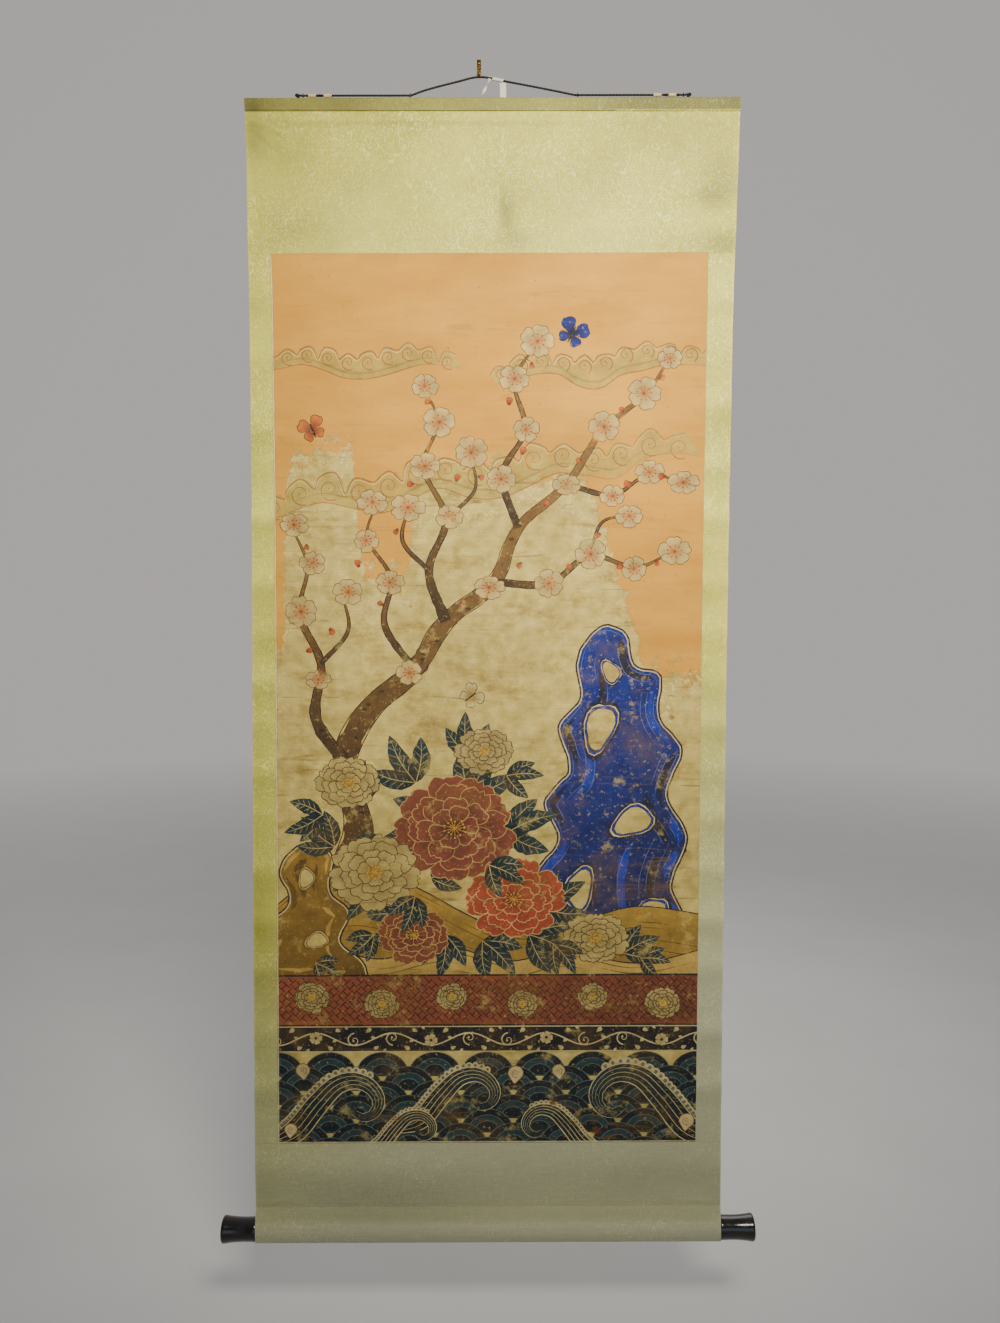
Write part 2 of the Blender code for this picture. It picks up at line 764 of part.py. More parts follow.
def nail():
    head = HOOK_THICK + GAP
    profile = (
        (head + 0.0011, 0.0),
        (head + 0.0009, 0.0013),
        (head + 0.0004, NAIL_HEAD),
        (head, NAIL_HEAD),
        (head, NAIL_SHANK),
        (GAP, NAIL_SHANK),
        (GAP, 0.0),
    )
    turn = Matrix.Rotation(math.radians(90), 4, "X")
    turned("hook_nail", profile, 16, "brass", Matrix.Translation((0.0, 0.0, NAIL_Z)) @ turn)


clear_scene()
parts = collection("hanging_scroll")
cutters = collection("cutters")
eyelet_bores = [eyelet_bore(name, x) for name, x in EYELETS]
top_panel()
hung_strip("left_border", "left_edge", "left_seam", 2, "damask_silk")
hung_strip("painted_sheet", "left_seam", "right_seam", 8, "painted_paper")
hung_strip("right_border", "right_seam", "right_edge", 2, "damask_silk")
bottom_panel()
top_stave()
roller_dowel()
knobs()
eyelets()
hanging_cord()
cord_ends()
whippings()
tie()
wall_hook()
nail()
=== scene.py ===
import math
import random

import bmesh
import bpy
import numpy as np
from mathutils import Matrix, Vector
from mathutils.bvhtree import BVHTree
from mathutils.geometry import delaunay_2d_cdt


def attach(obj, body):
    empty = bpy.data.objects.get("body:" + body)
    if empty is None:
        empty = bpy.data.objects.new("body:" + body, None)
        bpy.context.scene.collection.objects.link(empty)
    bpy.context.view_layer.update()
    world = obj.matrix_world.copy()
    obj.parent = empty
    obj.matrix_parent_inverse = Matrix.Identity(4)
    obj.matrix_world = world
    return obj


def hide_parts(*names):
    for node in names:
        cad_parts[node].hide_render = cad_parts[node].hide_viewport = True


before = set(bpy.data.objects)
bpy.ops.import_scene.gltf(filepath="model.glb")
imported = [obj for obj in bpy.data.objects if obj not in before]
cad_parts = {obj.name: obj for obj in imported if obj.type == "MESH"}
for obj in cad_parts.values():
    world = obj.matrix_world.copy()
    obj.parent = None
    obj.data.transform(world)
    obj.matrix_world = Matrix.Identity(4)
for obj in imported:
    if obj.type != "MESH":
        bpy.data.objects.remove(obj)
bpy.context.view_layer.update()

# ---- Sizes that the solids have too, in metres ----
GAP = 0.0003
CLOTH = 0.001
TOP_EDGE_Z = -0.0450
MIDDLE_X = 0.0203
TOP_TILT = 0.0023
ROLLER_TILT = 0.0044
OUTLINE_COLUMNS = ("drop", "left_edge", "left_seam", "right_seam", "right_edge")
OUTLINE = np.array(
    (
        (0.000, -0.3491, -0.3160, 0.3460, 0.3894), (0.076, -0.3466, -0.3150, 0.3450, 0.3876),
        (0.226, -0.3464, -0.3140, 0.3440, 0.3839), (0.300, -0.3454, -0.3124, 0.3433, 0.3821),
        (0.594, -0.3459, -0.3120, 0.3410, 0.3799), (0.900, -0.3492, -0.3140, 0.3403, 0.3790),
        (1.212, -0.3523, -0.3162, 0.3404, 0.3794), (1.601, -0.3559, -0.3194, 0.3402, 0.3801),
        (1.760, -0.3552, -0.3196, 0.3404, 0.3812),
    )
)
PAINTING_TOP = 0.2265
PAINTING_BOTTOM = 1.6010
STAVE_FRONT = -0.0113
STAVE_DEPTH = 0.0070
STAVE_TOP = 0.0013
STAVE_BOTTOM = 0.0147
FLAP_DROP = 0.0170
FLAP_ROWS = (FLAP_DROP, 0.0095, 0.0022)
STAVE_CORNER = 0.0013
BEHIND_STAVE = ((-0.0082, 0.0152), (-0.0097, 0.0165), (-0.0106, 0.0186))
FLAT_TOP_DROP = 0.0220
ROLLER_DROP = 1.7291
ROLLER_RADIUS = 0.0180
ROLLER_Y = -0.0206
ROLLER_LEFT = -0.3482
ROLLER_RIGHT = 0.3737
TUNNEL_RADIUS = ROLLER_RADIUS + 0.0004
FLAP_START_ABOVE = 0.0235
FLAP_BEND = 0.0012
FLAP_GLUED = 0.0045
DRAWN_IN = 0.0186
FLAT_TOP_Y = STAVE_FRONT + CLOTH / 2
FLAT_BOTTOM_Y = ROLLER_Y + TUNNEL_RADIUS + CLOTH / 2
# Columns: drop, left, middle, right, reach.
RIPPLES = np.array(
    (
        (0.110, 0.0006, 0.0002, 0.0008, 0.040), (0.196, 0.0004, 0.0003, 0.0010, 0.034),
        (0.297, 0.0003, 0.0002, 0.0012, 0.028), (0.381, 0.0008, 0.0003, 0.0005, 0.030),
        (0.457, 0.0004, 0.0003, 0.0014, 0.028), (0.486, 0.0014, 0.0003, 0.0002, 0.026),
        (0.545, 0.0005, 0.0004, 0.0013, 0.028), (0.622, 0.0017, 0.0005, 0.0014, 0.028),
        (0.722, 0.0013, 0.0006, 0.0013, 0.028), (0.799, 0.0009, 0.0006, 0.0009, 0.028),
        (0.872, 0.0013, 0.0005, 0.0007, 0.028), (0.939, 0.0007, 0.0006, 0.0013, 0.028),
        (1.012, 0.0013, 0.0005, 0.0008, 0.028), (1.084, 0.0006, 0.0006, 0.0014, 0.030),
        (1.166, 0.0012, 0.0005, 0.0011, 0.028), (1.246, 0.0008, 0.0006, 0.0013, 0.028),
        (1.322, 0.0012, 0.0005, 0.0009, 0.028), (1.424, 0.0008, 0.0005, 0.0012, 0.030),
        (1.512, 0.0009, 0.0004, 0.0011, 0.030), (1.640, 0.0006, 0.0003, 0.0007, 0.034),
    )
)
# Columns: x, drop, depth, reach in x, reach in drop.
DENTS = np.array(
    (
        (0.040, 0.160, 0.0014, 0.030, 0.060), (0.330, 0.130, 0.0013, 0.045, 0.040),
        (-0.318, 0.092, 0.0010, 0.030, 0.028), (0.110, 0.090, -0.0008, 0.110, 0.060),
        (-0.160, 0.130, -0.0009, 0.120, 0.070), (0.210, 1.660, -0.0007, 0.090, 0.040),
        (-0.180, 1.655, -0.0006, 0.110, 0.040),
    )
)
CORD_RADIUS = 0.0015
CORD_ABOVE = 0.0046
CORD_Y = -0.0080
EYELETS = (
    ("eyelet_outer_left", -0.2620), ("eyelet_inner_left", -0.1020), ("eyelet_inner_right", 0.1470),
    ("eyelet_outer_right", 0.3045),
)
EYELET_INNER = 0.0019
EYELET_WIRE = 0.0006
WHIPPINGS = (
    ("whipping_1", -0.2539, -0.2427), ("whipping_2", -0.2308, -0.2192), ("whipping_3", 0.2601, 0.2712),
    ("whipping_4", 0.2824, 0.2936),
)
CORD_ROUTE = (
    (-0.2160, -0.0080, -0.0409), (-0.1750, -0.0080, -0.0408), (-0.1350, -0.0080, -0.0408),
    (-0.1100, -0.0080, -0.0407), (-0.1015, -0.0080, -0.0406), (-0.0950, -0.0079, -0.0384),
    (-0.0818, -0.0074, -0.0334), (-0.0580, -0.0063, -0.0263), (-0.0283, -0.0046, -0.0181),
    (-0.0120, -0.0034, -0.0132), (0.0000, -0.0030, -0.0116), (0.0135, -0.0034, -0.0126),
    (0.0398, -0.0044, -0.0184), (0.0612, -0.0053, -0.0228), (0.0910, -0.0063, -0.0289),
    (0.1208, -0.0073, -0.0352), (0.1395, -0.0079, -0.0393), (0.1470, -0.0080, -0.0401),
    (0.1550, -0.0080, -0.0400), (0.1850, -0.0080, -0.0400), (0.2200, -0.0080, -0.0399),
    (0.2585, -0.0080, -0.0399),
)
TIE_FROM_X = 0.0142
TIE_TO_X = 0.0398
TIE_WIDTH = 0.0092
TAPE_THICK = 0.00035
TIE_TURNS = 2.35
TIE_LEAN = -0.215
TIE_LEAN_FADES = 0.018
TIE_LONG_ROUTE = (
    (0.0355, -0.0031, -0.0194), (0.0358, -0.0022, -0.0235), (0.0360, -0.0014, -0.0310),
    (0.0361, -0.0010, -0.0450), (0.0364, -0.0010, -0.1000), (0.0366, -0.0011, -0.1800),
    (0.0363, -0.0012, -0.2950),
)
TIE_SHORT_WIDTH = 0.0046
TIE_SHORT_ROUTE = (
    (0.0165, -0.0050, -0.0152), (0.0140, -0.0054, -0.0195), (0.0112, -0.0055, -0.0260),
    (0.0078, -0.0055, -0.0325), (0.0038, -0.0054, -0.0394),
)
HOOK_WIDTH = 0.0060
HOOK_THICK = 0.0012
HOOK_TOP = 0.0149
HOOK_CROOK = (-0.0030, -0.0116)
HOOK_LIP_TOP = -0.0028
NAIL_Z = 0.0095
NAIL_HEAD = 0.0023
KNOB_PROFILE = np.array(
    (
        (0.0000, 0.0180), (0.0100, 0.0177), (0.0230, 0.0176), (0.0340, 0.0181), (0.0430, 0.0190),
        (0.0495, 0.0200), (0.0522, 0.0199), (0.0537, 0.0188), (0.0543, 0.0150), (0.0547, 0.0080),
    )
)
KNOB_LENGTH = 0.0548

# ---- Camera ----
PHOTO_WIDE, PHOTO_TALL = 1000, 1323
CAMERA_PLACE = (0.0314, -1.54, -0.80414)
CAMERA_TILTED_DOWN = 3.02
FULL_FRAME = 36.0

camera = bpy.data.objects.new("camera", bpy.data.cameras.new("camera"))
bpy.context.scene.collection.objects.link(camera)
bpy.context.scene.camera = camera
camera.data.sensor_width = FULL_FRAME
camera.data.lens = FULL_FRAME * PHOTO_WIDE / PHOTO_TALL
camera.location = CAMERA_PLACE
camera.rotation_euler = (math.radians(90 - CAMERA_TILTED_DOWN), 0.0, 0.0)
camera.data.clip_start = 0.01


# ---- Shared ways of working ----
def smooth_route(points, step):
    """Evenly spaced points on a smooth curve through the given ones, in 2 or 3 dimensions."""
    knots = np.array(points, float)
    ends = np.vstack((2 * knots[0] - knots[1], knots, 2 * knots[-1] - knots[-2]))
    t = (np.arange(24) / 24)[:, None]
    fine = []
    for a, b, c, d in zip(ends, ends[1:], ends[2:], ends[3:]):
        bent = (2 * a - 5 * b + 4 * c - d) * t**2 + (3 * b - a - 3 * c + d) * t**3
        fine.append((2 * b + (c - a) * t + bent) / 2)
    fine = np.vstack((*fine, knots[-1:]))
    runs = runs_along(fine)
    wanted = np.linspace(0.0, runs[-1], max(2, round(runs[-1] / step) + 1))
    return np.stack([np.interp(wanted, runs, fine[:, k]) for k in range(knots.shape[1])], axis=1)


def steps_along(points):
    return np.linalg.norm(np.diff(np.array(points), axis=0), axis=1)


def runs_along(points):
    """How far along a line each of its points is."""
    return np.concatenate(([0.0], np.cumsum(steps_along(points))))


def run_length(points):
    return float(steps_along(points).sum())


DEEPENED = 1.22


def screen(red, green, blue):
    """A colour judged on a screen, 0 to 255, as the linear values that a shader takes, a little deepened."""
    shares = np.array((red, green, blue)) / 255
    linear = np.where(shares <= 0.04045, shares / 12.92, ((shares + 0.055) / 1.055) ** 2.4)
    grey = float(linear @ (0.21, 0.72, 0.07))
    return tuple(float(c) for c in np.clip(grey + (linear - grey) * DEEPENED, 0.002, 1.0))


def deselect():
    if bpy.context.mode != "OBJECT":
        bpy.ops.object.mode_set(mode="OBJECT")
    bpy.ops.object.select_all(action="DESELECT")


def make_active(made):
    deselect()
    made.select_set(True)
    bpy.context.view_layer.objects.active = made


def apply_modifiers(made):
    make_active(made)
    for modifier in list(made.modifiers):
        bpy.ops.object.modifier_apply(modifier=modifier.name)


def smooth_shaded(made, degrees=35):
    make_active(made)
    bpy.ops.object.shade_smooth_by_angle(angle=math.radians(degrees))


def piece_from(name, verts, faces):
    mesh = bpy.data.meshes.new(name)
    mesh.from_pydata([tuple(v) for v in verts], [], faces)
    mesh.update()
    made = bpy.data.objects.new(name, mesh)
    bpy.context.scene.collection.objects.link(made)
    return made


def flat_map(made, spots):
    """Where each corner of each face lies on the flat cloth, in metres."""
    layer = made.data.uv_layers.new(name="cloth")
    layer.data.foreach_set("uv", np.array(spots, np.float32).ravel())


def numbers_on(made, name, kind, domain, values):
    """Values that the piece's own material reads."""
    new = made.data.attributes.new(name, kind, domain)
    new.data.foreach_set("value", np.asarray(values, np.float32).ravel())


def thickened(made, thickness, even=False):
    thick = made.modifiers.new("thickness", "SOLIDIFY")
    thick.thickness = thickness
    thick.offset = 0.0
    thick.use_even_offset = even
    apply_modifiers(made)


def dress(made, material, slot, *nodes):
    """The piece's finish, its body and the nodes that it stands for. slot is not used."""
    made.data.materials.clear()
    made.data.materials.append(material)
    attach(made, "root")
    if nodes:
        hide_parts(*nodes)
    return made


# ---- Shader building ----
def node(tree, kind, inputs=None, **settings):
    made = tree.nodes.new("ShaderNode" + kind)
    for name, value in settings.items():
        setattr(made, name, value)
    for key, value in (inputs or {}).items():
        if isinstance(value, bpy.types.NodeSocket):
            tree.links.new(value, made.inputs[key])
        else:
            made.inputs[key].default_value = value
    return made


def maths(tree, operation, a, b=0.0):
    return node(tree, "Math", {0: a, 1: b}, operation=operation).outputs[0]


def plus(tree, a, b):
    return maths(tree, "ADD", a, b)


def less(tree, a, b):
    return maths(tree, "SUBTRACT", a, b)


def times(tree, first, *others):
    for other in others:
        first = maths(tree, "MULTIPLY", first, other)
    return first


def attribute(tree, name, output="Fac"):
    return node(tree, "Attribute", attribute_name=name).outputs[output]


def parts_of(tree, vector):
    return node(tree, "SeparateXYZ", {0: vector}).outputs


def even_grey(tree, value):
    """The same value in all three channels, to multiply a colour by."""
    return node(tree, "CombineColor", {0: value, 1: value, 2: value}).outputs[0]


def ramp(tree, value, low, high, to_low=0.0, to_high=1.0):
    made = node(tree, "MapRange", {0: value, 1: low, 2: high, 3: to_low, 4: to_high})
    return made.outputs[0]


def blend(tree, share, first, second, how="MIX"):
    made = node(tree, "Mix", data_type="RGBA", blend_type=how)
    for socket, value in ((made.inputs[0], share), (made.inputs[6], first), (made.inputs[7], second)):
        if isinstance(value, bpy.types.NodeSocket):
            tree.links.new(value, socket)
        else:
            socket.default_value = (*value, 1.0) if hasattr(value, "__len__") else value
    return made.outputs[2]


def cloudy(tree, vector, scale, detail=4.0, roughness=0.55, stretch=(1.0, 1.0, 1.0)):
    """Noise from 0 to 1 about 0.5, in cycles a metre."""
    placed = node(tree, "Mapping", {"Vector": vector, "Scale": stretch}).outputs[0]
    inputs = {"Vector": placed, "Scale": scale, "Detail": detail, "Roughness": roughness}
    return node(tree, "TexNoise", inputs).outputs[0]


def new_group(name, inputs, outputs):
    tree = bpy.data.node_groups.new(name, "ShaderNodeTree")
    for label, kind, value in inputs:
        socket = tree.interface.new_socket(label, in_out="INPUT", socket_type=kind)
        if value is not None:
            socket.default_value = value
    for label, kind in outputs:
        tree.interface.new_socket(label, in_out="OUTPUT", socket_type=kind)
    return tree, tree.nodes.new("NodeGroupInput").outputs, tree.nodes.new("NodeGroupOutput").inputs


def place_group(tree, group, inputs):
    made = tree.nodes.new("ShaderNodeGroup")
    made.node_tree = group
    for key, value in inputs.items():
        if isinstance(value, bpy.types.NodeSocket):
            tree.links.new(value, made.inputs[key])
        else:
            made.inputs[key].default_value = value
    return made.outputs


def new_material(name):
    material = bpy.data.materials.new(name)
    material.use_nodes = True
    tree = material.node_tree
    return material, tree, tree.nodes["Principled BSDF"]


def bumped(tree, shader, height, distance):
    made = node(tree, "Bump", {"Height": height, "Distance": distance, "Strength": 1.0})
    tree.links.new(made.outputs[0], shader.inputs["Normal"])


def own_coordinates(tree):
    return node(tree, "TexCoord").outputs["Object"]


def cloth_coordinates(tree):
    """Metres across and along the flat cloth."""
    return node(tree, "UVMap", uv_map="cloth").outputs[0]


def threads_group():
    """Fine threads that cross at right angles, as a height from 0 to 1."""
    tree, given, put = new_group(
        "threads",
        (("Vector", "NodeSocketVector", None), ("Per metre", "NodeSocketFloat", 1400.0)),
        (("Height", "NodeSocketFloat"),),
    )
    parts = parts_of(tree, given["Vector"])
    turns = times(tree, given["Per metre"], math.tau)
    warp = maths(tree, "SINE", times(tree, parts[0], turns))
    weft = maths(tree, "SINE", times(tree, parts[1], turns))
    crossed = times(tree, warp, weft)
    tree.links.new(ramp(tree, crossed, -1.0, 1.0), put["Height"])
    return tree


def figure_group():
    """The damask's self-coloured figure: small scattered scrolls among short wandering strokes."""
    tree, given, put = new_group(
        "damask_figure",
        (("Vector", "NodeSocketVector", None), ("Per metre", "NodeSocketFloat", 58.0)),
        (("Figure", "NodeSocketFloat"),),
    )
    seeds = node(
        tree,
        "TexVoronoi",
        {"Vector": given["Vector"], "Scale": given["Per metre"], "Randomness": 0.8},
        voronoi_dimensions="2D",
    ).outputs
    away = node(
        tree, "VectorMath", {0: given["Vector"], 1: seeds["Position"]}, operation="SUBTRACT"
    ).outputs[0]
    spin = times(tree, node(tree, "SeparateColor", {0: seeds["Color"]}).outputs[0], math.tau)
    mirrored = maths(
        tree, "SIGN", less(tree, node(tree, "SeparateColor", {0: seeds["Color"]}).outputs[1], 0.5)
    )
    parts = parts_of(tree, away)
    x = times(tree, parts[0], given["Per metre"], mirrored)
    y = times(tree, parts[1], given["Per metre"])
    out = maths(tree, "SQRT", plus(tree, times(tree, x, x), times(tree, y, y)))
    turn = maths(tree, "DIVIDE", plus(tree, maths(tree, "ARCTAN2", y, x), spin), math.tau)
    coil = maths(tree, "FRACT", less(tree, times(tree, out, 3.9), turn))
    off = maths(tree, "ABSOLUTE", less(tree, coil, 0.5))
    scroll = ramp(tree, off, 0.12, 0.22, 1.0, 0.0)
    scroll = times(tree, scroll, ramp(tree, out, 0.26, 0.34, 0.8, 0.0))
    upright = node(tree, "Mapping", {"Vector": given["Vector"], "Scale": (1.35, 0.8, 1.0)}).outputs[0]
    wander = node(
        tree, "TexNoise", {"Vector": upright, "Scale": 105.0, "Detail": 0.6, "Distortion": 0.5}
    ).outputs[0]
    near = maths(tree, "ABSOLUTE", less(tree, wander, 0.5))
    stroke = times(tree, ramp(tree, near, 0.018, 0.042, 1.0, 0.0), ramp(tree, out, 0.28, 0.40))
    tree.links.new(maths(tree, "MAXIMUM", scroll, stroke), put["Figure"])
    return tree


def patches_group():
    """Wear, dust and tarnish: large soft patches broken up by small ones."""
    tree, given, put = new_group(
        "patches",
        (
            ("Vector", "NodeSocketVector", None), ("Per metre", "NodeSocketFloat", 40.0),
            ("Cover", "NodeSocketFloat", 0.5),
        ),
        (("Mask", "NodeSocketFloat"),),
    )
    large = cloudy(tree, given["Vector"], given["Per metre"], 3.0)
    small = cloudy(tree, given["Vector"], times(tree, given["Per metre"], 9.0), 3.0)
    both = plus(tree, times(tree, large, 0.7), times(tree, small, 0.3))
    low = less(tree, 0.62, times(tree, given["Cover"], 0.25))
    high = plus(tree, low, 0.10)
    tree.links.new(ramp(tree, both, low, high), put["Mask"])
    return tree


def lining_group():
    """The paper glued over the whole back: soft long fibres and cloudy age."""
    tree, given, put = new_group(
        "paper_lining", (("Vector", "NodeSocketVector", None),), (("Color", "NodeSocketColor"),)
    )
    fibres = ramp(
        tree, cloudy(tree, given["Vector"], 300.0, 4.0, stretch=(1.0, 1.0, 0.08)), 0.35, 0.7, 0.0, 0.35
    )
    clouds = ramp(tree, cloudy(tree, given["Vector"], 7.0, 6.0, 0.6), 0.40, 0.66, 0.0, 0.55)
    paper = blend(tree, fibres, screen(212, 200, 170), screen(188, 172, 138))
    paper = blend(tree, clouds, paper, screen(178, 160, 124))
    spots = ramp(tree, cloudy(tree, given["Vector"], 70.0, 2.0), 0.70, 0.76, 0.0, 0.35)
    tree.links.new(blend(tree, spots, paper, screen(142, 112, 74)), put["Color"])
    return tree


THREADS = threads_group()
FIGURE = figure_group()
PATCHES = patches_group()
PAPER_LINING = lining_group()
SILK = screen(201, 197, 114)
SILK_FIGURE = screen(230, 226, 150)
SILK_SHADE = screen(176, 172, 94)
PAINTED_COOL_LIGHT_BELOW = (-1.60, -1.10)


def damask_silk():
    """Reads the cloth's own attributes: tone, which holds the painted light and shade, and lining."""
    material, tree, shader = new_material("pale_green_gold_damask_silk")
    flat = cloth_coordinates(tree)
    figure = place_group(tree, FIGURE, {"Vector": flat})["Figure"]
    threads = place_group(tree, THREADS, {"Vector": flat})["Height"]
    soft = ramp(tree, cloudy(tree, flat, 6.0, 3.0), 0.35, 0.68)
    ground = blend(tree, soft, SILK, SILK_SHADE)
    grime = place_group(tree, PATCHES, {"Vector": flat, "Per metre": 22.0, "Cover": 0.35})["Mask"]
    ground = blend(tree, times(tree, grime, 0.14), ground, screen(150, 138, 92))
    figure_shown = ramp(tree, cloudy(tree, flat, 8.0, 2.0), 0.36, 0.66, 0.30, 0.95)
    slubs = ramp(tree, cloudy(tree, flat, 420.0, 2.0, stretch=(0.06, 1.0, 1.0)), 0.35, 0.65, 0.95, 1.04)
    tone = attribute(tree, "tone")
    place = parts_of(tree, own_coordinates(tree))
    level = plus(tree, place["Z"], times(tree, place["X"], -0.6))
    # Painted cooler light: lower down and to the right the silk is mixed towards grey-green.
    silk = blend(tree, ramp(tree, level, *PAINTED_COOL_LIGHT_BELOW, 1.0, 0.0), ground, screen(190, 190, 160))
    # The figure shows less where the tone holds painted shade.
    figure_shown = times(tree, figure_shown, ramp(tree, tone, 0.5, 1.0, 0.55, 0.9))
    # The same painted cooler light on the figure's colour.
    pale = blend(tree, ramp(tree, level, *PAINTED_COOL_LIGHT_BELOW, 0.8, 0.0), SILK_FIGURE, screen(214, 214, 180))
    silk = blend(tree, times(tree, figure, figure_shown), silk, pale)
    # Painted light and shade: the tone, times the slubs, multiplies the silk.
    tone = times(tree, slubs, tone)
    silk = blend(tree, 1.0, silk, even_grey(tree, tone), "MULTIPLY")
    back = attribute(tree, "lining")
    paper = place_group(tree, PAPER_LINING, {"Vector": own_coordinates(tree)})["Color"]
    tree.links.new(blend(tree, back, silk, paper), shader.inputs["Base Color"])
    sheen = ramp(tree, figure, 0.0, 1.0, 0.62, 0.44)
    rough = maths(tree, "MAXIMUM", sheen, times(tree, back, 0.9))
    tree.links.new(rough, shader.inputs["Roughness"])
    raised = plus(tree, times(tree, figure, 0.6), times(tree, threads, 0.4))
    bumped(tree, shader, raised, 0.00010)
    shader.inputs["Sheen Weight"].default_value = 0.12
    shader.inputs["Sheen Roughness"].default_value = 0.4
    return material


PEACH = screen(210, 161, 94)
PEACH_SHADE = screen(188, 139, 76)
AGED = screen(218, 200, 138)
AGED_SHADE = screen(170, 152, 96)
BARE_PAPER = screen(226, 210, 158)


def painted_paper():
    """Reads the sheet's own attributes: paint, body (how thick the paint lies), aged and lining."""
    material, tree, shader = new_material("aged_painted_paper")
    flat = cloth_coordinates(tree)
    paint = attribute(tree, "paint", "Color")
    body = attribute(tree, "body")
    aged = attribute(tree, "aged")
    back = attribute(tree, "lining")
    soft = ramp(tree, cloudy(tree, flat, 16.0, 5.0, 0.6, stretch=(0.3, 1.0, 1.0)), 0.34, 0.68)
    fine = ramp(tree, cloudy(tree, flat, 55.0, 8.0, 0.7), 0.36, 0.64)
    fibres = ramp(tree, cloudy(tree, flat, 420.0, 3.0, stretch=(0.05, 1.0, 1.0)), 0.3, 0.7, 0.0, 0.3)
    peach = blend(tree, soft, PEACH, PEACH_SHADE)
    peach = blend(tree, fibres, peach, screen(188, 140, 78))
    buff = blend(tree, fine, AGED, AGED_SHADE)
    buff = blend(tree, fibres, buff, screen(150, 130, 84))
    soiled = ramp(tree, cloudy(tree, flat, 20.0, 9.0, 0.72, stretch=(0.5, 1.0, 1.0)), 0.52, 0.66, 0.0, 0.75)
    buff = blend(tree, soiled, buff, screen(128, 104, 60))
    ragged = cloudy(tree, flat, 34.0, 9.0, 0.72)
    edge = plus(tree, aged, times(tree, less(tree, ragged, 0.5), 1.6))
    worn = ramp(tree, edge, 0.48, 0.52)
    near_edge = times(tree, ramp(tree, edge, 0.40, 0.50), ramp(tree, edge, 0.60, 1.40, 1.0, 0.30))
    flaked = ramp(tree, cloudy(tree, flat, 110.0, 8.0, 0.74), 0.525, 0.56)
    clustered = ramp(tree, cloudy(tree, flat, 24.0, 4.0), 0.42, 0.56)
    flakes = times(tree, flaked, clustered, near_edge)
    ground = blend(tree, worn, peach, buff)
    ground = blend(tree, times(tree, flakes, 0.9), ground, BARE_PAPER)
    dark_rim = times(tree, ramp(tree, edge, 0.46, 0.50), ramp(tree, edge, 0.50, 0.56, 1.0, 0.0))
    ground = blend(tree, times(tree, dark_rim, 0.5), ground, screen(126, 100, 60))
    uneven = ramp(tree, cloudy(tree, flat, 34.0, 8.0, 0.7), 0.3, 0.7, 0.62, 1.30)
    grain = even_grey(tree, uneven)
    pigment = blend(tree, 1.0, paint, grain, "MULTIPLY")
    rubbed = ramp(tree, cloudy(tree, flat, 24.0, 10.0, 0.76), 0.56, 0.65)
    cracked = ramp(tree, cloudy(tree, flat, 150.0, 7.0, 0.72), 0.58, 0.65)
    lost = maths(tree, "MAXIMUM", times(tree, rubbed, 0.6), times(tree, cracked, 0.6))
    kept = times(tree, body, less(tree, 1.0, lost))
    shown = blend(tree, kept, ground, pigment)
    level = cloudy(tree, flat, 9.0, 3.0, stretch=(0.05, 1.0, 1.0))
    creases = times(tree, ramp(tree, level, 0.494, 0.5), ramp(tree, level, 0.5, 0.506, 1.0, 0.0))
    broken = times(tree, creases, ramp(tree, cloudy(tree, flat, 30.0, 4.0), 0.45, 0.6, 0.0, 0.7))
    broken = times(tree, broken, ramp(tree, worn, 0.0, 1.0, 0.35, 1.0))
    shown = blend(tree, broken, shown, screen(104, 80, 46))
    dingy = ramp(tree, cloudy(tree, flat, 13.0, 9.0, 0.7), 0.48, 0.72, 0.0, 0.38)
    shown = blend(tree, times(tree, dingy, worn), shown, screen(128, 102, 56))
    specks = ramp(tree, cloudy(tree, flat, 190.0, 2.0), 0.70, 0.73)
    shown = blend(tree, times(tree, specks, 0.6), shown, screen(92, 64, 38))
    varnish = ramp(tree, cloudy(tree, flat, 5.0, 5.0, 0.6), 0.35, 0.7, 1.04, 0.86)
    veil = node(tree, "CombineColor", {0: varnish, 1: varnish, 2: times(tree, varnish, 0.97)}).outputs[0]
    shown = blend(tree, 1.0, shown, veil, "MULTIPLY")
    lining = place_group(tree, PAPER_LINING, {"Vector": own_coordinates(tree)})["Color"]
    tree.links.new(blend(tree, back, shown, lining), shader.inputs["Base Color"])
    tree.links.new(ramp(tree, times(tree, kept, fine), 0.0, 1.0, 0.9, 0.72), shader.inputs["Roughness"])
    raised = plus(tree, times(tree, kept, 0.6), times(tree, fine, 0.4))
    bumped(tree, shader, raised, 0.00014)
    return material


def plain_wood():
    material, tree, shader = new_material("planed_softwood")
    place = own_coordinates(tree)
    grain = cloudy(tree, place, 260.0, 5.0, stretch=(0.03, 1.0, 1.0))
    broad = cloudy(tree, place, 40.0, 3.0, stretch=(0.05, 1.0, 1.0))
    wood = blend(tree, ramp(tree, grain, 0.35, 0.65), screen(196, 162, 112), screen(150, 112, 70))
    wood = blend(tree, ramp(tree, broad, 0.4, 0.7, 0.0, 0.5), wood, screen(128, 92, 56))
    tree.links.new(wood, shader.inputs["Base Color"])
    tree.links.new(ramp(tree, grain, 0.3, 0.7, 0.55, 0.75), shader.inputs["Roughness"])
    bumped(tree, shader, grain, 0.00015)
    return material


